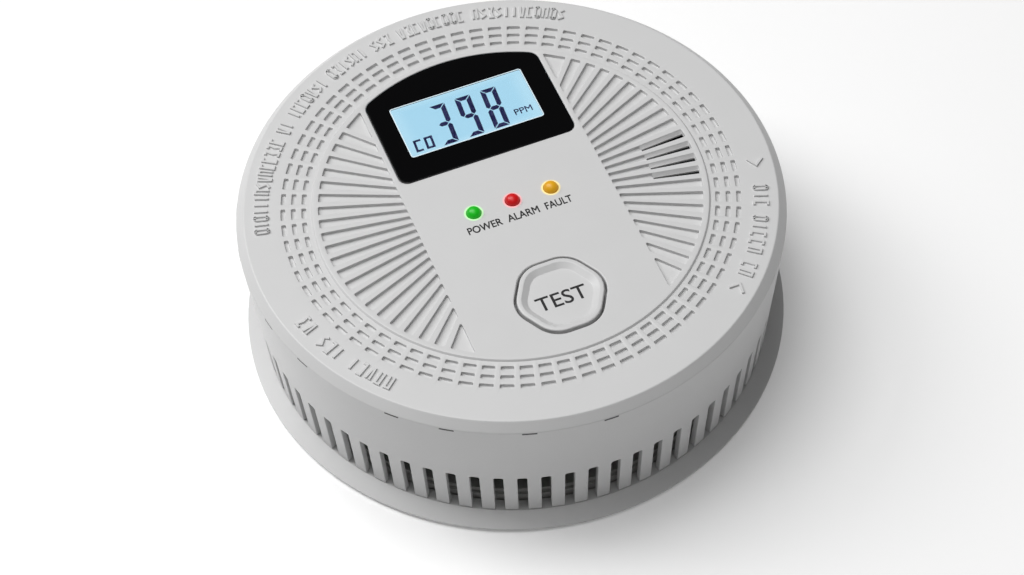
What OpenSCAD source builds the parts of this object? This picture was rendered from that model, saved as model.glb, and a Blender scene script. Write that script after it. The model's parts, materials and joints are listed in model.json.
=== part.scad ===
// Round carbon monoxide detector with a display, three indicator lamps and a test button.
// Millimetres. +Z points out of the face, z = 0 is the face of the mounting bracket that
// meets the wall, and the test button lies towards -Y.

/* [Cover] */
// Largest radius of the cover, where the side wall meets the chamfer
cover_r = 54; // [53:0.5:56]
// Height of the slotted outer ring of the face above the wall
face_z = 35; // [35:0.5:38]
// How far the round centre of the face stands above the slotted ring
disc_step = 0.4; // [0.2:0.1:0.8]
// Radius of the raised round centre of the face
disc_r = 39.1; // [39:0.1:39.5]
// Height of the chamfer round the face
chamfer_h = 1.8; // [1:0.1:2.5]
// Width of the chamfer round the face
chamfer_w = 1.65; // [1:0.05:2.5]
// Inward slope of the side wall from the chamfer to its foot
wall_draft = 2.15; // [1.5:0.05:2.3]
// Thickness of the moulded wall and roof
wall_t = 2.2; // [1.8:0.1:2.2]

/* [Side vents] */
// Number of vent slots round the side wall, and of radial slots in each ring of the face
pitch_count = 72; // [60:12:72]
// Width of a side vent
vent_w = 1.9; // [1.5:0.1:2.1]
// Height of the closed top end of the side vents
vent_top_z = 15.7; // [12:0.1:18]
// Angle of the first side vent in degrees
vent_phase = 0.1; // [0:0.1:5]

/* [Face vents] */
// Middle radius of the inner ring of slots
ring_r = 40.5; // [40.3:0.1:41]
// Distance from one ring of slots to the next
ring_gap = 2.05; // [1.8:0.05:2.4]
// Length of a ring slot along the circle, in degrees
ring_slot_deg = 3.5; // [2.5:0.1:4]
// Width of a ring slot along the radius
ring_slot_w = 0.9; // [0.6:0.1:1.2]
// Depth of a ring slot
ring_slot_depth = 0.6; // [0.4:0.1:1.2]
// Half width of the flat band between the two fans of radial pockets
band_half = 19.8; // [19.5:0.1:21]
// Outer radius of the fans
fan_r = 37.7; // [36:0.1:38]
// Width of a fan pocket in degrees
fan_pocket_deg = 3.1; // [2.5:0.1:3.6]
// Depth of a fan pocket
fan_depth = 0.6; // [0.4:0.1:1.4]
// Radius at which the open sensor slots start
sensor_slot_r = 28; // [26:0.5:30]
// Thickness of the face where the sensor slots go through
sensor_wall_t = 1.85; // [1.5:0.05:2.4]

/* [Display] */
// Half width of the display window
window_half = 18.7; // [17:0.1:19]
// Lower edge of the display window
window_y = 10.8; // [10:0.1:13]
// Radius of the curved upper edge of the display window
window_top_r = 37.8; // [37:0.1:38]
// Thickness of the display window
window_t = 1.8; // [1.5:0.1:2]
// Width of the liquid crystal glass
lcd_w = 33.6; // [31:0.2:33.6]
// Height of the liquid crystal glass
lcd_h = 18.6; // [17:0.1:18.8]

/* [Test button] */
// Distance of the button from the middle of the face
button_y = 25.8; // [25:0.1:26]
// Width of the button opening across its flats
button_af = 17.4; // [16:0.1:18]
// Radius of the rounded corners of the button opening
button_corner = 5.9; // [5:0.1:7]
// Gap between the button and the cover
button_gap = 0.4; // [0.3:0.05:0.5]
// Travel of the button
button_travel = 0.6; // [0.3:0.1:0.8]

/* [Indicator lamps] */
// Distance between two indicator lamps
led_pitch = 8.1; // [7:0.1:9]
// Diameter of an indicator lamp
led_d = 3; // [3:1:3]
// Height of the row of lamps above the middle of the face
led_y = -1; // [-1.5:0.1:0]

/* [Mounting bracket] */
// Outer radius of the mounting bracket
bracket_r = 55.1; // [54.5:0.1:57]
// Radius of the opening in the middle of the bracket
bracket_hole_r = 38.5; // [38.2:0.1:38.8]
// Distance between the two screw slots
screw_spacing = 88; // [87:0.5:89]
// Width of a screw slot
screw_slot_w = 4.4; // [4:0.2:4.6]
// Length of a screw slot
screw_slot_l = 8; // [7:0.5:8]
// Turn that frees the detector from the bracket, in degrees
twist_deg = 15; // [10:1:16]

/* [Power] */
// Diameter of a battery cell
cell_d = 14.5; // [13.5:0.5:14.5]
// Length of a battery cell with its contact knob
cell_l = 50.5; // [50.5:0.1:50.5]

/* [Hidden] */

pitch = 360 / pitch_count;

// Heights, from the wall upwards
plate_t = 2.0;                       // bracket plate
rim_z = 3.0;                         // shelf of the bracket rim
skirt_z = rim_z + 0.3;               // foot of the cover's side wall
floor_z = 2.5;                       // outer face of the rear housing
floor_t = 2.0;
floor_top = floor_z + floor_t;
door_t = 1.8;
ledge_z = 5.6;                       // top of the rear housing's inner rim
bay_wall = 1.5;
cell_z = 5.0 + cell_d / 2;
bay_top = cell_z + cell_d / 2 + 0.3; // underside of the battery bay's roof
board_z = bay_top + bay_wall + 0.5;
board_t = 1.6;
board_top = board_z + board_t;
disc_z = face_z + disc_step;
roof_z = face_z - wall_t;            // underside of the face
shoulder_z = face_z - chamfer_h;

// Radii
foot_r = cover_r - wall_draft;
floor_r = foot_r - wall_t - 0.45;
shelf_r = floor_r + 0.4;
ledge_r = floor_r - 0.6;
board_r = 46;

// Fixings
post_r = 43;
post_angles = [30, 150, 270];
post_foot = 8.1;
standoff_r = 42;
standoff_angles = [52, 128, 232, 308];
hook_angles = [95, 215, 335];
hook_half = 4;
hook_in = 43;
hook_out = 45;
hook_lip = 1.5;
hook_gap = 0.3;

// Battery bay and door
bay_x = 15.3;
bay_y = 28.4;
cell_x = 7.75;
cell_knob = 1.2;
contact_t = 0.4;
contact_y = bay_y - contact_t;
spring_l = 4.8;
knob_y = contact_y - 0.7;
door_x = 15.7;
door_y = 29.2;
door_gap = 0.3;
hinge_y = -32;
hinge_z = 3.9;
hinge_barrel_r = 1.2;
hinge_pin_r = 0.7;

// Display
lcd_y = 23;
lcd_t = 2.6;
lcd_top = disc_z - window_t - 0.2;
frame_top = roof_z - 0.2;
frame_wall = 1.2;
backlight_t = 3.4;
strip_t = 1.6;

// Parts on the board
led_rise = 1.3;                      // how far a lamp's dome stands above the face
switch_h = 3.5;
plunger_h = 1.8;
led_base = 30.5;
sensor_at = [32.5, -3];
sensor_r = 8;
sounder_at = [-31, -6];
sounder_r = 14;

// Colours
shell_white = [0.86, 0.86, 0.85];
steel = [0.75, 0.76, 0.78];
copper_gold = [0.82, 0.66, 0.32];

function arc(c, r, a0, a1, n) =
  [for (i = [0:n]) let (a = a0 + (a1 - a0) * i / n) c + r * [cos(a), sin(a)]];

// Rounded hexagon with two corners on the X axis
function hexagon(flats, corner) =
  [for (k = [0:5]) each arc((flats / 2 - corner) / cos(30) * [cos(60 * k), sin(60 * k)],
                            corner, 60 * k - 30, 60 * k + 30, 8)];

// Window outline: straight sides and foot, and a top edge that follows the face's circle
function window_outline(half, low, top_r, foot_corner, head_corner) =
  let (inner = top_r - head_corner,
       cx = half - head_corner,
       cy = sqrt(inner * inner - cx * cx),
       lean = atan2(cy, cx))
  concat(arc([-half + foot_corner, low + foot_corner], foot_corner, 180, 270, 8),
         arc([half - foot_corner, low + foot_corner], foot_corner, 270, 360, 8),
         arc([cx, cy], head_corner, 0, lean, 8),
         arc([0, 0], top_r, lean + 2, 178 - lean, 24),
         arc([-cx, cy], head_corner, 180 - lean, 180, 8));

function cell_positions() = [for (side = [-1, 1]) [side * cell_x, side]];

module at(r, a) rotate([0, 0, a]) translate([r, 0, 0]) children();

module disc(r, z0, z1, fn = 64) translate([0, 0, z0]) cylinder(r = r, h = z1 - z0, $fn = fn);

module box(x0, x1, y0, y1, z0, z1) translate([x0, y0, z0]) cube([x1 - x0, y1 - y0, z1 - z0]);

// Block between two radii and two angles
module arc_block(r0, r1, a0, a1, z0, z1)
  rotate([0, 0, a0])
    rotate_extrude(angle = a1 - a0, $fn = 96)
      translate([r0, z0]) square([r1 - r0, z1 - z0]);

module prism(points, z0, z1)
  translate([0, 0, z0]) linear_extrude(z1 - z0) polygon(points);

// Wire coil along +Z, from radius r0 to radius r1
module coil(r0, r1, length, turns, wire) {
  sides = 8;
  steps = ceil(turns * 14);
  span = length - wire;
  points = [for (i = [0:steps], k = [0:sides - 1])
    let (t = i / steps, a = 360 * turns * t, b = 360 * k / sides,
         r = r0 + (r1 - r0) * t + wire / 2 * cos(b))
    [r * cos(a), r * sin(a), wire / 2 + span * t + wire / 2 * sin(b)]];
  skin = [for (i = [0:steps - 1], k = [0:sides - 1])
    let (n = (k + 1) % sides)
    [i * sides + n, (i + 1) * sides + n, (i + 1) * sides + k, i * sides + k]];
  start_cap = [[for (k = [sides - 1:-1:0]) k]];
  end_cap = [[for (k = [0:sides - 1]) steps * sides + k]];
  polyhedron(points, concat(skin, start_cap, end_cap), convexity = 8);
}

// Pan-head screw, head down at z = 0, with a cross recess
module screw(head_r, head_h, shank_r, length) {
  difference() {
    cylinder(r = head_r, h = head_h, $fn = 48);
    for (a = [0, 90])
      rotate([0, 0, a]) box(-head_r * 0.6, head_r * 0.6, -0.35, 0.35, -1, head_h * 0.55);
  }
  translate([0, 0, head_h - 0.01]) cylinder(r = shank_r, h = length, $fn = 32);
}

// ---- Bracket ----

module hook() {
  arc_block(hook_in, hook_out, -hook_half, hook_half, plate_t - 0.5, floor_top + 0.5);
  arc_block(hook_in - hook_lip, hook_out, -hook_half, hook_half, floor_top + 0.4, floor_top + 1.9);
}

module screw_slot() {
  half = (screw_slot_l - screw_slot_w) / 2;
  for (x = [-half, half]) translate([x, 0]) disc(screw_slot_w / 2, -1, plate_t + 1, 48);
  box(-half, half, -screw_slot_w / 2, screw_slot_w / 2, -1, plate_t + 1);
}

module mounting_bracket() color(shell_white) {
  difference() {
    rotate_extrude($fn = 180)
      polygon([
        [bracket_hole_r, 0], [bracket_r - 0.8, 0], [bracket_r, 0.8], [bracket_r, 1.3],
        [foot_r + 0.05, rim_z], [shelf_r, rim_z], [shelf_r, plate_t], [bracket_hole_r, plate_t]
      ]);
    for (side = [-1, 1]) translate([side * screw_spacing / 2, 0, 0]) screw_slot();
  }
  for (a = hook_angles) rotate([0, 0, a]) hook();
}

// ---- Housing ----

module hook_slot() {
  reach = hook_half + twist_deg;
  slack = 0.6;
  arc_block(hook_in - hook_gap, hook_out + hook_gap, -reach - slack, hook_half + slack,
            floor_z - 1, floor_top + 1);
  arc_block(hook_in - hook_lip - hook_gap, hook_out + hook_gap,
            -reach - slack, -reach + 2 * hook_half + slack, floor_z - 1, floor_top + 1);
}

module battery_bay() difference() {
  box(-bay_x - bay_wall, bay_x + bay_wall, -bay_y - bay_wall, bay_y + bay_wall,
      floor_z + 1, bay_top + bay_wall);
  box(-bay_x, bay_x, -bay_y, bay_y, 0, bay_top);
  for (x = [-cell_x, cell_x])
    box(x - 1.8, x + 1.8, -bay_y - 0.01, -bay_y + 0.8, bay_top - 1, bay_top + bay_wall + 1);
}

module rear_housing() color([0.80, 0.80, 0.79]) difference() {
  union() {
    disc(floor_r, floor_z, floor_top, 180);
    difference() {
      disc(ledge_r, floor_z, ledge_z, 180);
      disc(ledge_r - 1.8, floor_top, ledge_z + 1, 180);
    }
    battery_bay();
    for (a = standoff_angles) at(standoff_r, a) disc(3.2, floor_z, board_z, 48);
    for (a = post_angles) at(post_r, a) disc(4.3, floor_z, post_foot - 0.1, 48);
    for (side = [-1, 1])
      translate([side * (door_x + door_gap + 1.6), 0, 0])
        box(-1.6, 1.6, hinge_y - 2.6, hinge_y + 2.2, floor_z, hinge_z + 2.4);
  }
  box(-bay_x, bay_x, -bay_y, bay_y, 0, bay_top);
  box(-door_x - door_gap, door_x + door_gap, hinge_y - hinge_barrel_r - door_gap, door_y + door_gap,
      0, floor_top);
  box(-door_x - door_gap, door_x + door_gap, hinge_y - hinge_barrel_r - door_gap, -bay_y - bay_wall,
      0, hinge_z + 2);
  box(-4.5, 4.5, door_y, door_y + 2.6, 0, floor_top + 1);
  translate([0, hinge_y, hinge_z]) rotate([0, 90, 0])
    translate([0, 0, -door_x - 2.2]) cylinder(r = hinge_pin_r + 0.06, h = 2 * door_x + 4.4, $fn = 32);
  for (a = hook_angles) rotate([0, 0, a]) hook_slot();
  for (a = post_angles) at(post_r, a) {
    disc(3.2, 0, 5.5, 48);
    disc(1.7, 0, 20, 32);
  }
  for (a = standoff_angles) at(standoff_r, a) disc(1.25, 12, 40, 32);
}

module battery_door() color([0.80, 0.80, 0.79]) difference() {
  union() {
    box(-door_x, door_x, hinge_y + 0.6, door_y, floor_z, floor_z + door_t);
    box(-4, 4, door_y - 1, door_y + 1.6, floor_z, floor_z + 1);
    translate([0, hinge_y, hinge_z]) rotate([0, 90, 0]) {
      translate([0, 0, -door_x]) cylinder(r = hinge_barrel_r, h = 2 * door_x, $fn = 48);
      translate([0, 0, -door_x - 1.9]) cylinder(r = hinge_pin_r, h = 2 * door_x + 3.8, $fn = 32);
    }
    box(-door_x, door_x, hinge_y, hinge_y + 1.4, hinge_z - hinge_barrel_r, floor_z + door_t);
  }
  for (i = [0:5]) box(-8, 8, 14 + 2 * i, 14.9 + 2 * i, 0, floor_z + 0.5);
}

module cover_shell() rotate_extrude($fn = 180)
  polygon([
    [0, roof_z], [0, disc_z], [disc_r - 0.6, disc_z], [disc_r, face_z],
    [cover_r - chamfer_w, face_z], [cover_r, shoulder_z], [foot_r, skirt_z],
    [foot_r - wall_t, skirt_z], [cover_r - wall_t, roof_z - 1.2], [cover_r - wall_t - 1.2, roof_z]
  ]);

// Fan pocket between two angles, cut straight by the flat band
module fan_pocket(a0, a1, depth) {
  corner = acos(band_half / fan_r);
  end = min(a1, corner);
  prism(concat([[band_half, band_half * tan(a0)]], arc([0, 0], fan_r, a0, end, 4),
               [[band_half, band_half * tan(end)]]),
        disc_z - depth, disc_z + 1);
}

module fans() {
  rows = 10;
  for (turn = [0, 180]) rotate([0, 0, turn]) {
    for (k = [-rows:rows - 1])
      let (mid = (k + 0.5) * pitch)
      fan_pocket(mid - fan_pocket_deg / 2, mid + fan_pocket_deg / 2, fan_depth);
    for (flip = [0, 1])
      mirror([0, flip, 0])
        fan_pocket(rows * pitch + (pitch - fan_pocket_deg) / 2, 90, fan_depth);
  }
}

// The face is thinner under the slots, so gas reaches the sensor easily
module sensor_slots() {
  arc_block(sensor_slot_r - 1, fan_r + 0.8, -3 * pitch - 0.5, pitch + 0.5, roof_z - 1,
            disc_z - sensor_wall_t);
  for (k = [-3:0])
    let (mid = (k + 0.5) * pitch)
    arc_block(sensor_slot_r, fan_r - 0.3, mid - fan_pocket_deg / 2 + 0.2,
              mid + fan_pocket_deg / 2 - 0.2, roof_z - 1, disc_z - fan_depth / 2);
}

module ring_slots()
  for (ring = [0:2], i = [0:pitch_count - 1])
    let (r = ring_r + ring * ring_gap, half = r * sin(ring_slot_deg / 2))
    rotate([0, 0, (i + 0.5) * pitch])
      box(r - ring_slot_w / 2, r + ring_slot_w / 2, -half, half, face_z - ring_slot_depth, face_z + 1);

module side_vents()
  for (i = [0:pitch_count - 1])
    rotate([0, 0, vent_phase + i * pitch])
      box(foot_r - wall_t - 1, cover_r + 1, -vent_w / 2, vent_w / 2, 0, vent_top_z);

module front_cover() color(shell_white) difference() {
  union() {
    cover_shell();
    for (a = post_angles) at(post_r, a) disc(3.5, post_foot, roof_z + 0.5, 48);
  }
  for (a = post_angles) at(post_r, a) disc(1.5, post_foot - 1, 20, 32);
  prism(window_outline(window_half, window_y, window_top_r, 2, 2.5), disc_z - window_t, disc_z + 1);
  prism(window_outline(window_half - 1.2, window_y + 1.2, window_top_r - 1.2, 1.5, 1.5),
        roof_z - 1, disc_z);
  for (i = [-1:1]) translate([i * led_pitch, led_y, 0]) disc(led_d / 2 + 0.15, roof_z - 1, disc_z + 1, 48);
  translate([0, -button_y, 0]) prism(hexagon(button_af, button_corner), roof_z - 1, disc_z + 1);
  fans();
  sensor_slots();
  ring_slots();
  side_vents();
}

// ---- Display ----

module display_window() color([0.03, 0.03, 0.04])
  prism(window_outline(window_half - 0.08, window_y + 0.08, window_top_r - 0.08, 2, 2.5),
        disc_z - window_t, disc_z);

module lcd_glass() color([0.62, 0.82, 0.92])
  box(-lcd_w / 2, lcd_w / 2, lcd_y - lcd_h / 2, lcd_y + lcd_h / 2, lcd_top - lcd_t, lcd_top);

module backlight_panel() color([0.92, 0.95, 1.0]) {
  top = lcd_top - lcd_t;
  inset = strip_t + 0.4;
  box(-lcd_w / 2, lcd_w / 2, lcd_y - lcd_h / 2 + inset, lcd_y + lcd_h / 2 - inset,
      top - backlight_t, top);
}

module lcd_frame() color([0.15, 0.15, 0.16]) {
  low = lcd_top - lcd_t - backlight_t;
  half_x = lcd_w / 2 + 0.1;
  half_y = lcd_h / 2 + 0.1;
  difference() {
    box(-half_x - frame_wall, half_x + frame_wall, lcd_y - half_y - frame_wall,
        lcd_y + half_y + frame_wall, low, frame_top);
    box(-half_x, half_x, lcd_y - half_y, lcd_y + half_y, low - 1, lcd_top + 1);
  }
  for (sx = [-1, 1], sy = [-1, 1])
    translate([sx * (half_x + frame_wall / 2), lcd_y + sy * (half_y + frame_wall / 2), 0])
      disc(frame_wall / 2, board_top, low + 0.5, 32);
}

module lcd_contact_strips() color([0.25, 0.25, 0.28])
  for (side = [-1, 1])
    translate([0, lcd_y + side * (lcd_h / 2 - strip_t / 2), 0])
      box(-lcd_w / 2 + 1.5, lcd_w / 2 - 1.5, -strip_t / 2, strip_t / 2, board_top, lcd_top - lcd_t);

// ---- Test button ----

module test_button() color(shell_white) translate([0, -button_y, 0]) {
  cap_af = button_af - 2 * button_gap;
  cap_corner = button_corner - button_gap;
  cap_top = disc_z + 0.3;
  plunger_top = board_top + switch_h + plunger_h;
  difference() {
    union() {
      prism(hexagon(cap_af, cap_corner), roof_z - 1.5, cap_top);
      prism(hexagon(cap_af + 2.4, cap_corner + 1.2), roof_z - 1.5, roof_z - 0.3);
    }
    hull() {
      prism(hexagon(cap_af - 1.4, cap_corner - 0.7), cap_top, cap_top + 0.01);
      prism(hexagon(cap_af - 4.2, cap_corner - 2.1), cap_top - 0.8, cap_top - 0.79);
    }
  }
  disc(2.2, plunger_top + 0.1, roof_z - 1.4, 48);
}

module switch_plunger() color([0.12, 0.12, 0.13]) translate([0, -button_y, 0])
  disc(1.7, board_top + switch_h - 1.2, board_top + switch_h + plunger_h, 48);

module tact_switch() color([0.2, 0.2, 0.22]) translate([0, -button_y, 0]) {
  difference() {
    box(-3, 3, -3, 3, board_top, board_top + switch_h);
    disc(1.78, board_top + switch_h - 1.2 - button_travel - 0.2, board_top + switch_h + 1, 48);
  }
  for (sx = [-1, 1], sy = [-1, 1])
    translate([sx * 3.5, sy * 2.25, 0]) box(-0.6, 0.6, -0.35, 0.35, board_top, board_top + 0.3);
}

// ---- Indicator lamps ----

module led(i) translate([i * led_pitch, led_y, 0]) {
  r = led_d / 2;
  top = disc_z + led_rise;
  disc(r + 0.4, led_base, led_base + 1, 48);
  disc(r, led_base, top - r, 48);
  translate([0, 0, top - r]) sphere(r = r, $fn = 48);
  for (x = [-1.27, 1.27]) box(x - 0.25, x + 0.25, -0.25, 0.25, board_top, led_base + 0.1);
}

module power_led() color([0.05, 0.75, 0.1]) led(-1);
module alarm_led() color([0.85, 0.05, 0.05]) led(0);
module fault_led() color([0.85, 0.6, 0.1]) led(1);

module led_spacers() color([0.1, 0.1, 0.1])
  for (i = [-1:1]) translate([i * led_pitch, led_y, 0]) difference() {
    disc(2.4, board_top, led_base, 48);
    disc(1.8, board_top - 1, led_base + 1, 48);
  }

// ---- Board and the parts on it ----

module main_board() color([0.05, 0.35, 0.15]) difference() {
  disc(board_r, board_z, board_top, 180);
  for (a = post_angles) at(post_r, a) disc(4.1, board_z - 1, board_top + 1, 48);
  for (a = standoff_angles) at(standoff_r, a) disc(1.6, board_z - 1, board_top + 1, 32);
}

module microcontroller() color([0.08, 0.08, 0.09]) translate([16, -8.5, 0]) {
  half = 4.5;
  box(-half, half, -half, half, board_top + 0.1, board_top + 1.5);
  for (turn = [0:90:270], i = [0:7])
    rotate([0, 0, turn])
      box(half - 0.1, half + 0.9, -3.7 + i - 0.18, -3.7 + i + 0.18, board_top, board_top + 0.5);
}

module boost_coil() color([0.2, 0.2, 0.22]) translate([-12.3, -9.5, board_top]) {
  disc(3.8, 0, 1, 48);
  disc(2.6, 0.5, 5.5, 48);
  disc(3.8, 5, 6, 48);
}

module capacitors() color([0.15, 0.2, 0.45])
  for (at_xy = [[20, -22.5], [28.2, -20.5]])
    translate([at_xy[0], at_xy[1], board_top]) {
      box(-3.4, 3.4, -3.4, 3.4, 0, 0.8);
      disc(3.15, 0.5, 7, 48);
    }

module chip_resistors() color([0.1, 0.1, 0.1])
  for (row = [0, 1], i = [0:4])
    translate([-30 + 3.2 * i, -24.5 - 2.6 * row, board_top]) box(-1, 1, -0.6, 0.6, 0, 0.5);

module sensor_cell() color([0.85, 0.85, 0.82]) translate([sensor_at[0], sensor_at[1], 0]) {
  disc(sensor_r, board_top + 0.6, roof_z - 1.8, 96);
  for (a = [90, 210, 330]) at(5, a) disc(0.5, board_top, board_top + 1, 32);
}

module sensor_cap() color([0.2, 0.2, 0.22]) translate([sensor_at[0], sensor_at[1], 0]) difference() {
  disc(sensor_r + 0.4, roof_z - 1.8, roof_z - 0.3, 96);
  disc(0.6, 0, 50, 32);
  for (i = [0:5]) at(3.2, 60 * i) disc(0.6, 0, 50, 32);
}

module sounder_cup() color([0.9, 0.9, 0.88]) translate([sounder_at[0], sounder_at[1], 0]) difference() {
  disc(sounder_r, board_top, roof_z - 0.4, 96);
  disc(sounder_r - 2.4, board_top - 1, roof_z - 1.6, 96);
  disc(sounder_r - 1.2, board_top - 1, board_top + 3.6, 96);
  disc(3, 0, 50, 48);
}

module piezo_disc() color(copper_gold) translate([sounder_at[0], sounder_at[1], board_top]) {
  disc(sounder_r - 1.4, 3.1, 3.5, 96);
  disc(9, 2.9, 3.2, 96);
}

module sounder_springs() color(steel) translate([sounder_at[0], sounder_at[1], board_top]) {
  coil(1.2, 1.2, 2.9, 4, 0.4);
  translate([11, 0, 0]) coil(1.2, 1.2, 3.1, 4, 0.4);
}

// ---- Battery cells and contacts ----

// Cell with its knob pointing towards +Y when way is 1
module cell(x, way) translate([x, 0, cell_z]) rotate([-90 * way, 0, 0]) {
  tip = knob_y;
  foot = tip - cell_l;
  r = cell_d / 2;
  translate([0, 0, foot]) cylinder(r = r, h = cell_l - cell_knob, $fn = 96);
  translate([0, 0, tip - cell_knob - 0.01]) cylinder(r = 2.7, h = cell_knob + 0.01, $fn = 48);
}

module battery_left() color([0.72, 0.45, 0.2]) cell(-cell_x, -1);
module battery_right() color([0.72, 0.45, 0.2]) cell(cell_x, 1);

module contact_spring(x, way) translate([x, way * contact_y, cell_z]) rotate([90 * way, 0, 0])
  coil(4.6, 3.2, contact_y + knob_y - cell_l, 3.5, 0.7);

module contact_knob(x, way) translate([x, way * (contact_y + 0.1), cell_z]) rotate([90 * way, 0, 0])
  cylinder(r1 = 3, r2 = 2, h = contact_y - knob_y + 0.1, $fn = 48);

module contact_plate(x0, x1, way) {
  y0 = way > 0 ? contact_y : -bay_y;
  box(x0, x1, y0, y0 + contact_t, cell_z - 5.2, cell_z + 5.2);
}

module contact_tail(x) box(x - 1.5, x + 1.5, -bay_y, -bay_y + contact_t, cell_z + 5, board_z);

module bridge_contact() color(steel) {
  contact_plate(-13, 13, 1);
  contact_spring(-cell_x, 1);
  contact_knob(cell_x, 1);
}

module negative_contact() color(steel) {
  contact_plate(2.5, 13, -1);
  contact_spring(cell_x, -1);
  contact_tail(cell_x);
}

module positive_contact() color(steel) {
  contact_plate(-13, -2.5, -1);
  contact_knob(-cell_x, -1);
  contact_tail(-cell_x);
}

// ---- Fasteners ----

module cover_screws() color(steel)
  for (a = post_angles) at(post_r, a) translate([0, 0, 3.5]) screw(2.8, 2, 1.4, 11);

module board_screws() color(steel)
  for (a = standoff_angles) at(standoff_r, a)
    translate([0, 0, board_top + 1.6]) rotate([180, 0, 0]) screw(2.6, 1.6, 1.15, 8);

mounting_bracket();
rear_housing();
battery_door();
front_cover();
display_window();
lcd_glass();
lcd_frame();
backlight_panel();
lcd_contact_strips();
test_button();
switch_plunger();
tact_switch();
power_led();
alarm_led();
fault_led();
led_spacers();
main_board();
microcontroller();
boost_coil();
capacitors();
chip_resistors();
sensor_cell();
sensor_cap();
sounder_cup();
piezo_disc();
sounder_springs();
battery_left();
battery_right();
bridge_contact();
negative_contact();
positive_contact();
cover_screws();
board_screws();
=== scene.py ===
# %% [markdown]
# # A round carbon monoxide detector
# The imported model holds the mechanics: each part has its place, and each moving part its body.
# This lesson gives the detector its looks. It rebuilds the parts that a hand and an eye meet, the
# cover, the window, the lamps and the button, with the soft edges that a mould leaves, and gives
# every other part a finish of its own. The main places are worked out from the imported parts' boxes.

# %% Load the imported model
import json
import math

import bmesh
import bpy
from mathutils import Matrix, Vector
from mathutils.geometry import tessellate_polygon

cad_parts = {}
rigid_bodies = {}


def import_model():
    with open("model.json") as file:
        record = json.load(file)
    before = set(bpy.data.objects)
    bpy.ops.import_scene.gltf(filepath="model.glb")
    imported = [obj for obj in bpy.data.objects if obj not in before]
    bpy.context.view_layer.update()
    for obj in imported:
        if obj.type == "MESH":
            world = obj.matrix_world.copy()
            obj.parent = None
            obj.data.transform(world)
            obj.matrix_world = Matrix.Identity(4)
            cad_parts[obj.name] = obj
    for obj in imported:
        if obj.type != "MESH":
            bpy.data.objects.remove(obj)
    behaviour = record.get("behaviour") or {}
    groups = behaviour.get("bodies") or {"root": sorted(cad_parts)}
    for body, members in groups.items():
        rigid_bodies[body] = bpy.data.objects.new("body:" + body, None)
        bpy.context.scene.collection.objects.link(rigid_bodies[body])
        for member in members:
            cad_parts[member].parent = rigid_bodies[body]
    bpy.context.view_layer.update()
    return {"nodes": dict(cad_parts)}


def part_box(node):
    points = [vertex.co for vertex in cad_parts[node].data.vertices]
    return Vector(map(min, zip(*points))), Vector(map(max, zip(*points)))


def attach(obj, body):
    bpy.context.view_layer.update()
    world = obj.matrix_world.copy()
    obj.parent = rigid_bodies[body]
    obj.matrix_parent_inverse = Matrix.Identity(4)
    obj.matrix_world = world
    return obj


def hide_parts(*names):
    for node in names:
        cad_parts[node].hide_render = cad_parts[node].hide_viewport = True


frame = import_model()
scene = bpy.context.scene
MM = 0.001


def span(name):
    """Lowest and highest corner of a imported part, in millimetres."""
    low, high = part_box(name)
    return low / MM, high / MM


print("parts:", len(frame["nodes"]))

# %% [markdown]
# ## Sizes
# A moulded cover is ruled by a few numbers: its radius, the height of its face, and the 5 degree
# pitch that both the side vents and the slots of the face keep. The rest follows from them, so
# they are named once here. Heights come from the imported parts, so that every new piece fills
# exactly the place of the part that it stands for.

# %% Sizes of the cover
cover_low, cover_high = span("front_cover")
window_low, window_high = span("display_window")
COVER_R = round(cover_high.x, 1)
FOOT_Z = round(cover_low.z, 2)
DISC_Z = round(window_high.z, 2)
LAMP_TOP_Z = span("power_led")[1].z
DISC_STEP = 0.4
FACE_T = 2.2
CHAMFER_H = 1.8
CHAMFER_W = 1.65
WALL_DRAFT = 2.15
FOOT_WALL_T = 1.2
TOP_WALL_T = 1.3
ROOF_CHAMFER = 1.2
FACE_Z = DISC_Z - DISC_STEP
ROOF_Z = FACE_Z - FACE_T
SHOULDER_Z = FACE_Z - CHAMFER_H
EDGE_R = COVER_R - CHAMFER_W
FOOT_R = COVER_R - WALL_DRAFT
INNER_FOOT_R = FOOT_R - FOOT_WALL_T
INNER_TOP_R = COVER_R - TOP_WALL_T
PITCH = 5.0
COUNT = 72
STEPS_PER_PITCH = 4
VENT_PHASE = 0.1
DISC_R = 39.1
SQUARE = ((-1, -1), (1, -1), (1, 1), (-1, 1))
print(f"cover radius {COVER_R} mm, face at {FACE_Z:.1f} mm, raised disc at {DISC_Z:.1f} mm")

# %% [markdown]
# ## Outlines
# Most of this object is flat faces with holes, walls and rounded rims. So the mesh code works
# with closed outlines, always drawn anticlockwise: `rounded` turns corners into arcs, `offset`
# moves an outline outwards, and `Shape` collects loops of points and the faces between them.
# A strip from a mouth down into a hole then always faces the empty side.


# %% Outline helpers
def polar(radius, degrees):
    angle = math.radians(degrees)
    return Vector((radius * math.cos(angle), radius * math.sin(angle)))


def arc(centre, radius, start, end, steps):
    """Points on an arc from start to end degrees."""
    centre = Vector(centre)
    return [centre + polar(radius, start + (end - start) * k / steps) for k in range(steps + 1)]


def circle(radius, steps, centre=(0, 0)):
    return arc(centre, radius, 0, 360, steps)[:-1]


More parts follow.
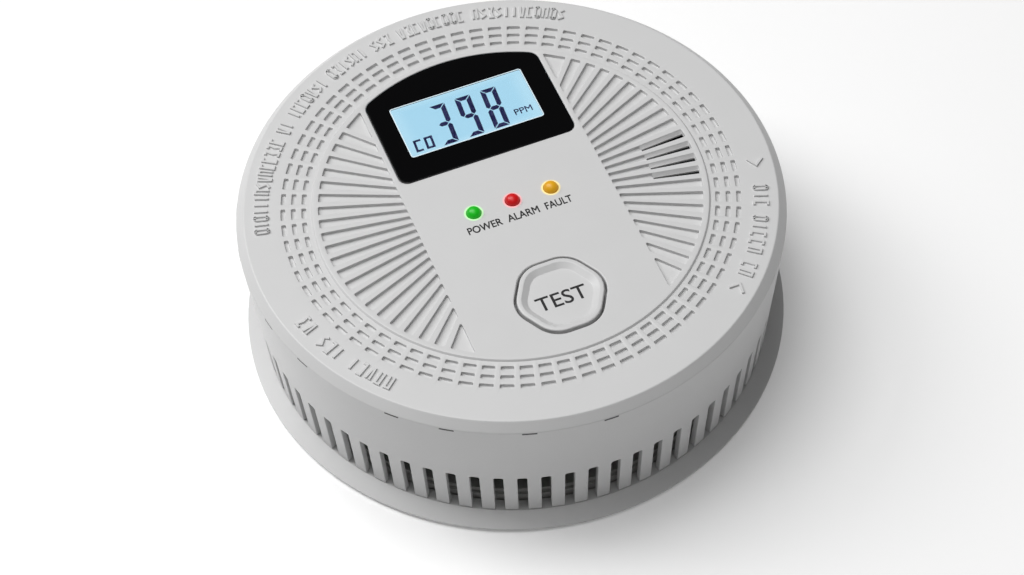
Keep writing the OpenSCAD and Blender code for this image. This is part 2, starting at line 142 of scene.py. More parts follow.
def rounded(corners, radius, steps=3, closed=True):
    """The line through these corners with each corner turned into an arc."""
    corners = [Vector(c) for c in corners]
    line = []
    for i, corner in enumerate(corners):
        if not closed and i in (0, len(corners) - 1):
            line.append(corner)
            continue
        back = (corners[i - 1] - corner).normalized()
        ahead = (corners[(i + 1) % len(corners)] - corner).normalized()
        half = back.angle(ahead) / 2
        centre = corner + (back + ahead).normalized() * radius / math.sin(half)
        first = corner + back * radius / math.tan(half) - centre
        last = corner + ahead * radius / math.tan(half) - centre
        turn = math.degrees(first.angle_signed(last))
        start = math.degrees(math.atan2(first.y, first.x))
        line += arc(centre, radius, start, start - turn, steps)
    return line


def offset(outline, distance):
    """An anticlockwise outline moved outwards, or inwards where distance is negative."""
    moved = []
    for i, here in enumerate(outline):
        before = (here - outline[i - 1]).normalized()
        after = (outline[(i + 1) % len(outline)] - here).normalized()
        side = Vector((before.y + after.y, -before.x - after.x))
        moved.append(here + side * distance / (1 + before.dot(after)))
    return moved


def raised(outline, height):
    return [Vector((p.x, p.y, height)) for p in outline]


class Shape:
    """Points in millimetres and the faces between them."""

    def __init__(self):
        self.points = []
        self.faces = []

    def loop(self, points):
        start = len(self.points)
        self.points += points
        return list(range(start, len(self.points)))

    def strip(self, a, b, closed=True):
        for i in range(len(a) if closed else len(a) - 1):
            j = (i + 1) % len(a)
            self.faces.append((a[i], a[j], b[j], b[i]))

    def sweep(self, loops, closed=True):
        """Strips through several loops of points. Returns the first and the last loop."""
        made = [self.loop(points) for points in loops]
        for a, b in zip(made, made[1:]):
            self.strip(a, b, closed)
        return made[0], made[-1]

    def fill(self, outline, holes=(), down=False):
        """A level face inside an outline, with holes. It faces up, or down."""
        loops = [outline, *holes]
        index = [i for loop in loops for i in loop]
        flat = [[Vector((*self.points[i][:2], 0)) for i in loop] for loop in loops]
        for corners in tessellate_polygon(flat):
            a, b, c = (index[k] for k in corners)
            p, q, r = (self.points[k] for k in (a, b, c))
            turn = (q.x - p.x) * (r.y - p.y) - (q.y - p.y) * (r.x - p.x)
            self.faces.append((a, c, b) if (turn > 0) == down else (a, b, c))

    def prism(self, outline, low, high):
        """A solid with level ends, from one height to another."""
        bottom, top = self.sweep([raised(outline, low), raised(outline, high)])
        self.fill(bottom, down=True)
        self.fill(top)

    def mesh(self, name):
        made = bpy.data.meshes.new(name)
        made.from_pydata([p * MM for p in self.points], [], self.faces)
        return made


def mouth(outline, top, edge, steps=3):
    """Loops of a hole's rounded mouth, from the level face around it into the hole."""
    loops = []
    for k in range(steps + 1):
        turn = math.pi / 2 * k / steps
        loops.append(raised(offset(outline, edge * (1 - math.sin(turn))),
                            top - edge * (1 - math.cos(turn))))
    return loops


def lathe(shape, profile, steps, centre):
    """Turns a profile of (radius, height) points, traced up the outside and in over the top."""
    bottom, top = shape.sweep([raised(circle(r, steps, centre), z) for r, z in profile])
    shape.fill(bottom, down=True)
    shape.fill(top)


print("a rounded square has", len(rounded([(0, 0), (4, 0), (4, 4), (0, 4)], 1)), "points")


# %% [markdown]
# ## From mesh to piece
# A piece's object stays at the origin and its place is in its mesh, so a pattern on Object
# coordinates never slides. Soft mould edges look right when the big flat faces decide the
# shading, which is what weighted normals do.


# %% Piece helpers
def joined(name, meshes, gap=0.002):
    """One mesh from several, with points that lie on each other merged."""
    gathered = bmesh.new()
    for mesh in meshes:
        gathered.from_mesh(mesh)
    bmesh.ops.remove_doubles(gathered, verts=gathered.verts, dist=gap * MM)
    made = bpy.data.meshes.new(name)
    gathered.to_mesh(made)
    gathered.free()
    return made


def report_mesh(mesh):
    edges = {}
    for polygon in mesh.polygons:
        for key in polygon.edge_keys:
            edges[key] = edges.get(key, 0) + 1
    loose = sum(1 for count in edges.values() if count != 2)
    print(f"{mesh.name}: {len(mesh.polygons)} faces, {loose} edges not shared by two faces")


def piece(name, mesh, body, material, replaces=(), sharp=50):
    """A finished piece that rides on a body."""
    made = bpy.data.objects.new(name, mesh)
    scene.collection.objects.link(made)
    mesh.materials.clear()
    mesh.materials.append(material)
    mesh.polygons.foreach_set("material_index", [0] * len(mesh.polygons))
    mesh.shade_smooth()
    mesh.set_sharp_from_angle(angle=math.radians(sharp))
    weighted = made.modifiers.new("shading", "WEIGHTED_NORMAL")
    weighted.keep_sharp = True
    report_mesh(mesh)
    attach(made, body)
    if replaces:
        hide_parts(*replaces)


# %% [markdown]
# ## Nodes
# Materials and Geometry Nodes trees are both built by one small function that adds a node, sets
# its properties, and gives each input a value or the socket that feeds it.


# %% Node helpers
def srgb(code):
    """A hex colour as linear red, green, blue and alpha."""
    parts = [int(code[i:i + 2], 16) / 255 for i in (1, 3, 5)]
    return (*[p / 12.92 if p <= 0.04045 else ((p + 0.055) / 1.055) ** 2.4 for p in parts], 1.0)


def add(tree, kind, inputs=None, **settings):
    """Adds a node. inputs maps a socket's name or number to a value, a socket or several."""
    made = tree.nodes.new(kind)
    for name, value in settings.items():
        setattr(made, name, value)
    for key, value in (inputs or {}).items():
        sources = value if isinstance(value, list) else [value]
        for source in sources:
            if isinstance(source, bpy.types.NodeSocket):
                tree.links.new(source, made.inputs[key])
            else:
                made.inputs[key].default_value = source
    return made


def new_material(name):
    """An empty material and its tree."""
    made = bpy.data.materials.new(name)
    made.use_nodes = True
    made.node_tree.nodes.clear()
    return made, made.node_tree


def close_material(tree, surface):
    add(tree, "ShaderNodeOutputMaterial", {"Surface": surface.outputs[0]})


# %% [markdown]
# ## Moulded plastic
# The casing is satin white ABS, injection moulded in a spark-eroded tool. That leaves a fine
# even grain that spreads highlights, and very slight changes of tone and gloss where the melt
# cooled at different speeds. The grain is drawn at 0.35 mm, coarser than the real 0.1 mm, so
# that it can still be seen. The same recipe with other numbers gives the dark inner plastics,
# the rubber strips and the sleeves.


# %% Plastics
def moulded(name, colour, roughness, grain_mm=0.35, depth_mm=0.006, tone=0.02, patch_mm=9):
    """Moulded plastic with grain, and with tone and gloss that drift a little."""
    made, tree = new_material(name)
    place = add(tree, "ShaderNodeTexCoord").outputs["Object"]
    grain = add(tree, "ShaderNodeTexNoise",
                {"Vector": place, "Scale": 1 / (grain_mm * MM), "Detail": 3.0, "Roughness": 0.6})
    patch = add(tree, "ShaderNodeTexNoise",
                {"Vector": place, "Scale": 1 / (patch_mm * MM), "Detail": 2.0})
    base = srgb(colour)
    paler = tuple(min(1.0, c * (1 + tone)) for c in base[:3]) + (1.0,)
    darker = tuple(c * (1 - tone) for c in base[:3]) + (1.0,)
    tint = add(tree, "ShaderNodeMix", {"Factor": patch.outputs["Fac"]}, data_type="RGBA")
    tint.inputs[6].default_value = darker
    tint.inputs[7].default_value = paler
    gloss = add(tree, "ShaderNodeMapRange",
                {"Value": grain.outputs["Fac"], "From Min": 0.3, "From Max": 0.7,
                 "To Min": roughness - 0.05, "To Max": roughness + 0.05})
    bump = add(tree, "ShaderNodeBump",
               {"Height": grain.outputs["Fac"], "Distance": depth_mm * MM, "Strength": 1.0})
    shader = add(tree, "ShaderNodeBsdfPrincipled",
                 {"Base Color": tint.outputs[2], "Roughness": gloss.outputs["Result"],
                  "Normal": bump.outputs["Normal"], "IOR": 1.53})
    close_material(tree, shader)
    return made


white_abs = moulded("satin_white_abs", "#CFCFCF", 0.42)
inner_abs = moulded("inner_white_abs", "#B4B4B2", 0.5, depth_mm=0.004)
# This black plastic also paints the shade inside the catch slits.
dark_abs_and_slit_shade = moulded("black_plastic_and_painted_slit_shade", "#1B1B1D", 0.45, depth_mm=0.004, tone=0.1)
zebra_rubber = moulded("layered_silicone_rubber", "#3A3A3E", 0.7, grain_mm=0.2, tone=0.15)
sensor_shell = moulded("sensor_cell_plastic", "#D8D6CC", 0.4, grain_mm=0.5)
ferrite = moulded("ferrite_and_varnish", "#2B2A2C", 0.35, grain_mm=0.3, tone=0.2)
resistor_body = moulded("resistor_ceramic", "#17171A", 0.3, grain_mm=0.2, tone=0.2)
print("casing plastic:", white_abs.name)

# %% [markdown]
# ## Window, display and printing
# The window is acrylic: polished, with a black border printed on it, so it mirrors sharply. The
# display behind it is liquid crystal glass lit from behind by a light panel, brighter along its
# edges where the lamps sit. The segments are the places where the crystal blocks that light,
# and they look deep blue. Printed legends are flat pad-printing ink.


# %% Window, display and ink
def polished(name, colour, roughness, transmission=0.0, ior=1.49, coat=0.0, haze_mm=4):
    """Polished plastic or glass whose gloss drifts a little, as handled plastic does."""
    made, tree = new_material(name)
    place = add(tree, "ShaderNodeTexCoord").outputs["Object"]
    haze = add(tree, "ShaderNodeTexNoise",
               {"Vector": place, "Scale": 1 / (haze_mm * MM), "Detail": 4.0})
    gloss = add(tree, "ShaderNodeMapRange",
                {"Value": haze.outputs["Fac"], "From Min": 0.3, "From Max": 0.7,
                 "To Min": roughness, "To Max": roughness + 0.04})
    shader = add(tree, "ShaderNodeBsdfPrincipled",
                 {"Base Color": srgb(colour), "Roughness": gloss.outputs["Result"], "IOR": ior,
                  "Transmission Weight": transmission, "Coat Weight": coat,
                  "Coat Roughness": 0.03})
    close_material(tree, shader)
    return made


def lit_display(name, middle, rim, strength, centre, half_w, half_h):
    """Backlit liquid crystal: its light grows towards the rim, where the lamps are."""
    made, tree = new_material(name)
    place = add(tree, "ShaderNodeTexCoord").outputs["Object"]
    centred = add(tree, "ShaderNodeMapping",
                  {"Vector": place, "Location": (-centre.x / half_w, -centre.y / half_h, 0),
                   "Scale": (1 / (half_w * MM), 1 / (half_h * MM), 1)})
    parts = add(tree, "ShaderNodeSeparateXYZ", {"Vector": centred.outputs[0]})
    across = add(tree, "ShaderNodeMath", {0: parts.outputs["X"]}, operation="ABSOLUTE")
    along = add(tree, "ShaderNodeMath", {0: parts.outputs["Y"]}, operation="ABSOLUTE")
    further = add(tree, "ShaderNodeMath",
                  {0: across.outputs[0], 1: along.outputs[0]}, operation="MAXIMUM")
    ramp = add(tree, "ShaderNodeMapRange",
               {"Value": further.outputs[0], "From Min": 0.75, "From Max": 1.0},
               interpolation_type="SMOOTHSTEP")
    light = add(tree, "ShaderNodeMix", {"Factor": ramp.outputs["Result"]}, data_type="RGBA")
    light.inputs[6].default_value = srgb(middle)
    light.inputs[7].default_value = srgb(rim)
    shader = add(tree, "ShaderNodeBsdfPrincipled",
                 {"Base Color": srgb("#0A0C10"), "Roughness": 0.25, "IOR": 1.5,
                  "Emission Color": light.outputs[2], "Emission Strength": strength})
    close_material(tree, shader)
    return made


def ink_and_painted_highlight(name, colour, roughness=0.55, glow=0.0):
    """Ink, dark crystal with some light behind it, and painted highlight lines: a film that lies a
    little unevenly.
    """
    made, tree = new_material(name)
    place = add(tree, "ShaderNodeTexCoord").outputs["Object"]
    film = add(tree, "ShaderNodeTexNoise", {"Vector": place, "Scale": 1 / (0.25 * MM), "Detail": 2.0})
    tint = add(tree, "ShaderNodeMix", {"Factor": film.outputs["Fac"]}, data_type="RGBA")
    base = srgb(colour)
    tint.inputs[6].default_value = base
    tint.inputs[7].default_value = tuple(c * 1.3 + 0.002 for c in base[:3]) + (1.0,)
    shader = add(tree, "ShaderNodeBsdfPrincipled",
                 {"Base Color": tint.outputs[2], "Roughness": roughness, "IOR": 1.5,
                  "Emission Color": base, "Emission Strength": glow})
    close_material(tree, shader)
    return made


LIT_HALF_W = 14.0
LIT_LOW = 16.85
LIT_HIGH = 29.95
LIT_CENTRE = Vector((-0.17, (LIT_LOW + LIT_HIGH) / 2))
black_border = polished("black_printed_acrylic", "#050506", 0.04)
clear_acrylic = polished("clear_acrylic", "#FFFFFF", 0.0, transmission=1.0)
display_glow = lit_display("backlit_liquid_crystal", "#AADBF3", "#B6E2F7", 1.03,
                           LIT_CENTRE + Vector((0, 0.9)), LIT_HALF_W, (LIT_HIGH - LIT_LOW) / 2)
display_ink = ink_and_painted_highlight("liquid_crystal_segments", "#03033A", 0.6, glow=0.7)
legend_ink = ink_and_painted_highlight("black_pad_printing", "#0A0A0C")
light_guide = polished("clear_light_guide", "#F4F8FF", 0.1)
print("display lights", round(2 * LIT_HALF_W, 1), "by", round(LIT_HIGH - LIT_LOW, 1), "mm")


# %% [markdown]
# ## Lamps
# An indicator lamp is a light-emitting diode cast in tinted, diffusing epoxy. Unlit it shows its
# deep resin colour; lit, the dome glows from inside, most at its crown, over the chip. The light
# that leaves its side is painted on the rim of its hole as a tinted glow, which fades within half a
# millimetre.


# %% Lamp resin
def tinted_epoxy(name, resin, glow, strength):
    """Resin that glows more towards the top of its dome."""
    made, tree = new_material(name)
    place = add(tree, "ShaderNodeTexCoord").outputs["Object"]
    cloud = add(tree, "ShaderNodeTexNoise", {"Vector": place, "Scale": 1 / (0.8 * MM)})
    parts = add(tree, "ShaderNodeSeparateXYZ", {"Vector": place})
    rise = add(tree, "ShaderNodeMapRange",
               {"Value": parts.outputs["Z"], "From Min": DISC_Z * MM, "From Max": LAMP_TOP_Z * MM})
    light = add(tree, "ShaderNodeMix", {"Factor": rise.outputs["Result"]}, data_type="RGBA")
    light.inputs[6].default_value = srgb(resin)
    light.inputs[7].default_value = srgb(glow)
    gloss = add(tree, "ShaderNodeMapRange",
                {"Value": cloud.outputs["Fac"], "To Min": 0.35, "To Max": 0.45})
    shader = add(tree, "ShaderNodeBsdfPrincipled",
                 {"Base Color": srgb(resin), "Roughness": gloss.outputs["Result"], "IOR": 1.52,
                  "Emission Color": light.outputs[2], "Emission Strength": strength})
    close_material(tree, shader)
    return made


def painted_lamp_glow(name, colour, centre):
    """Casing plastic next to a lamp with the lamp's light painted on it as a tinted glow."""
    made, tree = new_material(name)
    place = add(tree, "ShaderNodeTexCoord").outputs["Object"]
    flat = add(tree, "ShaderNodeVectorMath", {0: place, 1: (1, 1, 0)}, operation="MULTIPLY")
    away = add(tree, "ShaderNodeVectorMath",
               {0: flat.outputs[0], 1: (centre.x * MM, centre.y * MM, 0)}, operation="DISTANCE")
    fade = add(tree, "ShaderNodeMapRange",
               {"Value": away.outputs["Value"], "From Min": 1.6 * MM, "From Max": 2.1 * MM,
                "To Min": 1.0, "To Max": 0.0}, interpolation_type="SMOOTHSTEP")
    tint = add(tree, "ShaderNodeMix", {"Factor": fade.outputs["Result"]}, data_type="RGBA")
    tint.inputs[6].default_value = srgb("#CFCFCF")
    tint.inputs[7].default_value = srgb(colour)
    glow = add(tree, "ShaderNodeMath", {0: fade.outputs["Result"], 1: 0.3}, operation="MULTIPLY")
    shader = add(tree, "ShaderNodeBsdfPrincipled",
                 {"Base Color": tint.outputs[2], "Roughness": 0.42, "IOR": 1.53,
                  "Emission Color": srgb(colour), "Emission Strength": glow.outputs[0]})
    close_material(tree, shader)
    return made


green_epoxy = tinted_epoxy("green_epoxy", "#0B8C10", "#19B81C", 0.55)
red_epoxy = tinted_epoxy("red_epoxy", "#8E0508", "#D8141A", 0.55)
amber_epoxy = tinted_epoxy("amber_epoxy", "#A8780A", "#E0A81E", 0.55)


# %% [markdown]
# ## Metals, board and cells
# Inside there are nickel-plated contact springs, zinc-plated screws, a brass sounder disc, a
# green circuit board with copper tracks under its lacquer, and two alkaline cells in printed
# film. Metals are rolled or drawn, so their fine lines run one way. The cells carry plain bands
# of colour in place of any printing.


# %% Metals, board and cells
def drawn_metal(name, colour, roughness, line_mm=0.15, axis=(1, 1, 0.08)):
    """Rolled or drawn metal with fine lines along one direction."""
    made, tree = new_material(name)
    place = add(tree, "ShaderNodeTexCoord").outputs["Object"]
    stretched = add(tree, "ShaderNodeMapping", {"Vector": place, "Scale": axis})
    lines = add(tree, "ShaderNodeTexNoise",
                {"Vector": stretched.outputs[0], "Scale": 1 / (line_mm * MM), "Detail": 3.0})
    gloss = add(tree, "ShaderNodeMapRange",
                {"Value": lines.outputs["Fac"], "From Min": 0.3, "From Max": 0.7,
                 "To Min": roughness - 0.08, "To Max": roughness + 0.08})
    bump = add(tree, "ShaderNodeBump",
               {"Height": lines.outputs["Fac"], "Distance": 0.003 * MM, "Strength": 1.0})
    shader = add(tree, "ShaderNodeBsdfPrincipled",
                 {"Base Color": srgb(colour), "Metallic": 1.0, "Normal": bump.outputs["Normal"],
                  "Roughness": gloss.outputs["Result"]})
    close_material(tree, shader)
    return made


def lacquered_board(name):
    """Green solder mask, paler where copper tracks run under it, some 4 mm apart."""
    made, tree = new_material(name)
    place = add(tree, "ShaderNodeTexCoord").outputs["Object"]
    cells = add(tree, "ShaderNodeTexVoronoi",
                {"Vector": place, "Scale": 1 / (3.8 * MM)}, distance="MANHATTAN",
                feature="DISTANCE_TO_EDGE")
    track = add(tree, "ShaderNodeMapRange",
                {"Value": cells.outputs["Distance"], "From Min": 0.05, "From Max": 0.07})
    tint = add(tree, "ShaderNodeMix", {"Factor": track.outputs["Result"]}, data_type="RGBA")
    tint.inputs[6].default_value = srgb("#2E7A48")
    tint.inputs[7].default_value = srgb("#145A2C")
    bump = add(tree, "ShaderNodeBump",
               {"Height": track.outputs["Result"], "Distance": 0.03 * MM, "Strength": 1.0})
    shader = add(tree, "ShaderNodeBsdfPrincipled",
                 {"Base Color": tint.outputs[2], "Roughness": 0.3, "IOR": 1.5,
                  "Normal": bump.outputs["Normal"]})
    close_material(tree, shader)
    return made


def banded_film(name, lower, upper, middle_y):
    """Printed film round a steel can: a plain dark body and a plain coloured band at one end."""
    made, tree = new_material(name)
    place = add(tree, "ShaderNodeTexCoord").outputs["Object"]
    parts = add(tree, "ShaderNodeSeparateXYZ", {"Vector": place})
    side = add(tree, "ShaderNodeMath",
               {0: parts.outputs["Y"], 1: middle_y * MM}, operation="GREATER_THAN")
    speck = add(tree, "ShaderNodeTexNoise", {"Vector": place, "Scale": 1 / (0.3 * MM)})
    tint = add(tree, "ShaderNodeMix", {"Factor": side.outputs[0]}, data_type="RGBA")
    tint.inputs[6].default_value = srgb(lower)
    tint.inputs[7].default_value = srgb(upper)
    gloss = add(tree, "ShaderNodeMapRange",
                {"Value": speck.outputs["Fac"], "To Min": 0.25, "To Max": 0.4})
    shader = add(tree, "ShaderNodeBsdfPrincipled",
                 {"Base Color": tint.outputs[2], "Metallic": 0.6, "Coat Weight": 0.5,
                  "Roughness": gloss.outputs["Result"]})
    close_material(tree, shader)
    return made


contact_steel = drawn_metal("nickel_plated_steel", "#C6C4BC", 0.3)
screw_steel = drawn_metal("zinc_plated_steel", "#B9BCC0", 0.38, line_mm=0.1, axis=(1, 1, 1))
brass = drawn_metal("rolled_brass", "#C9A55A", 0.35, axis=(0.1, 1, 1))
can_metal = drawn_metal("capacitor_can_aluminium", "#B4B6BA", 0.4, axis=(1, 1, 0.2))
board_green = lacquered_board("lacquered_circuit_board")
cell_left = banded_film("cell_film_knob_down", "#B4713A", "#2A2B2E", -9)
cell_right = banded_film("cell_film_knob_up", "#2A2B2E", "#B4713A", 9)

# %% [markdown]
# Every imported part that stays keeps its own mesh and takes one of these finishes.

# %% Finish the parts that stay
finishes = {
    white_abs: ["mounting_bracket"],
    inner_abs: ["rear_housing", "battery_door", "sounder_cup"],
    display_glow: ["lcd_glass"],
    light_guide: ["backlight_panel"],
    dark_abs_and_slit_shade: ["lcd_frame", "switch_plunger", "tact_switch", "led_spacers", "microcontroller",
               "sensor_cap"],
    zebra_rubber: ["lcd_contact_strips"],
    ferrite: ["boost_coil"],
    can_metal: ["capacitors"],
    resistor_body: ["chip_resistors"],
    board_green: ["main_board"],
    sensor_shell: ["sensor_cell"],
    brass: ["piezo_disc"],
    contact_steel: ["sounder_springs", "bridge_contact", "negative_contact", "positive_contact"],
    cell_left: ["battery_left"],
    cell_right: ["battery_right"],
    screw_steel: ["cover_screws", "board_screws"],
}
for material, names in finishes.items():
    for name in names:
        slots = frame["nodes"][name].data.materials
        for index in range(len(slots)):
            slots[index] = material
        if not slots:
            slots.append(material)
print(sum(len(names) for names in finishes.values()), "parts keep their mesh")

# %% [markdown]
# ## One tree for everything that goes round
# The wall of the cover is one 5 degree slice with a vent in it, 72 times over, and the slotted
# ring of the face is one slice with three slots, 72 times over. A Geometry Nodes tree takes a
# slice, sets copies round the axis, makes them real and merges the seams. Its inputs are the
# number of copies, the first angle and the step, so the same tree serves both rings.


# %% Tree that sets tiles round the axis
def tree_with_inputs(name, inputs):
    made = bpy.data.node_groups.new(name, "GeometryNodeTree")
    for label, kind in {"Geometry": "NodeSocketGeometry", **inputs}.items():
        made.interface.new_socket(label, in_out="INPUT", socket_type=kind)
    made.interface.new_socket("Geometry", in_out="OUTPUT", socket_type="NodeSocketGeometry")
    return made, add(made, "NodeGroupInput")


def close_tree(tree, geometry, material):
    real = add(tree, "GeometryNodeRealizeInstances", {0: geometry})
    merged = add(tree, "GeometryNodeMergeByDistance",
                 {"Geometry": real.outputs[0], "Distance": 0.002 * MM})
    coated = add(tree, "GeometryNodeSetMaterial",
                 {"Geometry": merged.outputs[0], "Material": material})
    add(tree, "NodeGroupOutput", {0: coated.outputs[0]})


def tiles_round_axis():
    tree, start = tree_with_inputs("tiles_round_the_axis", {
        "Count": "NodeSocketInt", "First angle": "NodeSocketFloat",
        "Step": "NodeSocketFloat", "Material": "NodeSocketMaterial"})
    number = add(tree, "GeometryNodeInputIndex")
    turn = add(tree, "ShaderNodeMath",
               {0: number.outputs[0], 1: start.outputs["Step"], 2: start.outputs["First angle"]},
               operation="MULTIPLY_ADD")
    turns = add(tree, "ShaderNodeCombineXYZ", {"Z": turn.outputs[0]})
    seats = add(tree, "GeometryNodePoints", {"Count": start.outputs["Count"]})
    copies = add(tree, "GeometryNodeInstanceOnPoints",
                 {"Points": seats.outputs[0], "Instance": start.outputs["Geometry"],
                  "Rotation": turns.outputs[0]})
    close_tree(tree, copies.outputs[0], start.outputs["Material"])
    return tree


def grown(mesh, tree, values):
    """Runs a tree on a mesh and returns the plain result."""
    holder = bpy.data.objects.new("holder", mesh)
    scene.collection.objects.link(holder)
    modifier = holder.modifiers.new(tree.name, "NODES")
    modifier.node_group = tree
    for item in tree.interface.items_tree:
        if item.item_type == "SOCKET" and item.in_out == "INPUT" and item.name in values:
            modifier[item.identifier] = values[item.name]
    evaluated = holder.evaluated_get(bpy.context.evaluated_depsgraph_get())
    plain = bpy.data.meshes.new_from_object(evaluated)
    bpy.data.objects.remove(holder)
    print(f"{tree.name}: {len(mesh.polygons)} faces grew to {len(plain.polygons)}")
    return plain


ring_tree = tiles_round_axis()


def ring_of(tile, first, material):
    return grown(tile.mesh("tile"), ring_tree,
                 {"Count": COUNT, "First angle": math.radians(first),
                  "Step": math.radians(PITCH), "Material": material})


# %% [markdown]
# ## A slice of the wall
# The slice starts at the foot of the wall, where the vent is open, and runs up over the chamfer
# onto the flat of the face. The vent's rim has a 0.15 mm radius, as moulded rims do. Its inside
# wall is part of the slice too, so the cover has a true thickness where one looks in.

# %% Wall slice with its vent
VENT_HALF = 0.95
VENT_TOP_Z = 15.7
VENT_CORNER = 0.4
VENT_EDGE = 0.15
VENT_STEPS = 2
FLAT_R = 47.6
FIELD_R = 47.0
columns = [PITCH * (k / STEPS_PER_PITCH - 0.5) for k in range(STEPS_PER_PITCH + 1)]


def outer_r(z):
    return FOOT_R + (COVER_R - FOOT_R) * (z - FOOT_Z) / (SHOULDER_Z - FOOT_Z)


def inner_r(z):
    return INNER_FOOT_R + (INNER_TOP_R - INNER_FOOT_R) * (z - FOOT_Z) / (ROOF_Z - ROOF_CHAMFER - FOOT_Z)


def row(radius, z):
    """Points across the slice at one radius and height."""
    return [Vector((*polar(radius, a), z)) for a in columns]


def vent_line(grow):
    """Half width and height along the vent's rim, up the right, over the top, down the left."""
    side = VENT_HALF - VENT_CORNER
    low = VENT_TOP_Z - VENT_CORNER
    right = arc((side, low), VENT_CORNER + grow, 0, 90, 3)
    left = arc((-side, low), VENT_CORNER + grow, 90, 180, 3)
    ends = VENT_HALF + grow
    return [(ends, FOOT_Z), *right, (0, VENT_TOP_Z + grow), *left, (-ends, FOOT_Z)]


def vent_loop(grow, radius_at, depth=0.0):
    loop = []
    for side, z in vent_line(grow):
        radius = radius_at(z) - depth
        loop.append(Vector((math.sqrt(radius * radius - side * side), side, z)))
    return loop


def vent_wall(tile, rim, top, radius_at, inward):
    """The wall around the vent, on the outside or, turned round, on the inside.

    The rim's 11 points are numbered as vent_line draws them, so point 5 is the top's middle.
    """
    low = VENT_TOP_Z - VENT_CORNER
    left = tile.loop([Vector((*polar(radius_at(z), columns[0]), z)) for z in (FOOT_Z, low)])
    right = tile.loop([Vector((*polar(radius_at(z), columns[-1]), z)) for z in (FOOT_Z, low)])
    faces = [
        (rim[0], right[0], right[1], rim[1]),
        (left[0], rim[10], rim[9], left[1]),
        (rim[1], right[1], top[4], top[3], top[2], rim[5], rim[4], rim[3], rim[2]),
        (left[1], rim[9], rim[8], rim[7], rim[6], rim[5], top[2], top[1], top[0]),
    ]
    tile.faces += [face[::-1] for face in faces] if inward else faces
    return left[0], right[0]


def wall_slice():
    tile = Shape()
    top_z = VENT_TOP_Z + 1
    profile = rounded([(outer_r(top_z), top_z), (COVER_R, SHOULDER_Z), (EDGE_R, FACE_Z),
                       (FLAT_R, FACE_Z)], 0.5, closed=False)
    rows = [tile.loop(row(r, z)) for r, z in profile]
    inside = [(INNER_TOP_R - ROOF_CHAMFER, ROOF_Z), (INNER_TOP_R, ROOF_Z - ROOF_CHAMFER),
              (inner_r(top_z), top_z)]
    inner_rows = [tile.loop(row(r, z)) for r, z in inside]
    for group in (rows, inner_rows):
        for a, b in zip(group, group[1:]):
            tile.strip(a, b, closed=False)
    rims = []
    for k in range(VENT_STEPS + 1):
        turn = math.pi / 2 * k / VENT_STEPS
        rims.append(tile.loop(vent_loop(VENT_EDGE * (1 - math.sin(turn)), outer_r,
                                        VENT_EDGE * (1 - math.cos(turn)))))
    rims.append(tile.loop(vent_loop(0, inner_r)))
    for a, b in zip(rims, rims[1:]):
        tile.strip(a, b, closed=False)
    out_left, out_right = vent_wall(tile, rims[0], rows[0], outer_r, inward=False)
    in_left, in_right = vent_wall(tile, rims[-1], inner_rows[-1], inner_r, inward=True)
    tile.fill([out_right, in_right, *[rim[0] for rim in rims[::-1]]], down=True)
    tile.fill([out_left, in_left, *[rim[-1] for rim in rims[::-1]]], down=True)
    return tile


wall = ring_of(wall_slice(), VENT_PHASE, white_abs)

# %% [markdown]
# ## A slice of the slotted ring
# Each slice holds three short grooves. They are shallow, 0.7 mm, so light from the side leaves a
# small shadow in each and the floor still shows.

# %% Slotted slice
SLOT_R = (40.5, 42.55, 44.6)
SLOT_HALF_W = 0.45
SLOT_DEG = 3.5
SLOT_DEPTH = 0.7


def slotted_slice():
    tile = Shape()
    steps = STEPS_PER_PITCH
    half = PITCH / 2
    outline = arc((0, 0), FIELD_R, -half, half, steps) + arc((0, 0), DISC_R, half, -half, steps)
    mouths = []
    for r in SLOT_R:
        reach = r * math.sin(math.radians(SLOT_DEG / 2))
        groove = rounded([(r - SLOT_HALF_W, -reach), (r + SLOT_HALF_W, -reach),
                          (r + SLOT_HALF_W, reach), (r - SLOT_HALF_W, reach)], 0.2, 2)
        first, last = tile.sweep([*mouth(groove, FACE_Z, 0.1, 2),
                                  raised(groove, FACE_Z - SLOT_DEPTH)])
        tile.fill(last)
        mouths.append(first)
    tile.fill(tile.loop(raised(outline, FACE_Z)), mouths)
    return tile


slots = ring_of(slotted_slice(), PITCH / 2, white_abs)

# %% [markdown]
# ## The raised disc
# The middle of the face stands 0.4 mm above the slotted ring. Two fans of radial pockets leave
# ribs between them, and a flat band between the fans carries the window, the lamps and the
# button. Four pockets on the right go right through, over the gas sensor, where the face is
# thinner underneath and one side of each pocket slopes to let air in. The disc is one level face
# with holes, and each hole is a stack of loops from its rounded mouth down.

# %% Disc, with its pockets and openings
BAND_HALF = 19.8
FAN_R = 37.7
POCKET_DEG = 3.1
POCKET_DEPTH = 0.75
SENSOR_ROWS = (-3, -2, -1, 0)
SENSOR_R = 28.0
SENSOR_WALL = 1.15
SENSOR_SLOPE = 0.6
WINDOW_CORNERS = (2, 2.5)
BUTTON_AF = 17.4
BUTTON_CORNER = 5.9
LAMP_R = 1.5
button_low, button_high = span("test_button")
button_at = Vector((0, round((button_low.y + button_high.y) / 2, 2)))
lamps = {name: span(name) for name in ("power_led", "alarm_led", "fault_led")}
lamp_at = {name: (low + high).xy / 2 for name, (low, high) in lamps.items()}


def hexagon(flats, corner, centre):
    """A hexagon with arcs for corners, two of them on the X axis."""
    reach = (flats / 2 - corner) / math.cos(math.radians(30))
    line = []
    for k in range(6):
        line += arc(centre + polar(reach, 60 * k), corner, 60 * k - 30, 60 * k + 30, 8)
    return line


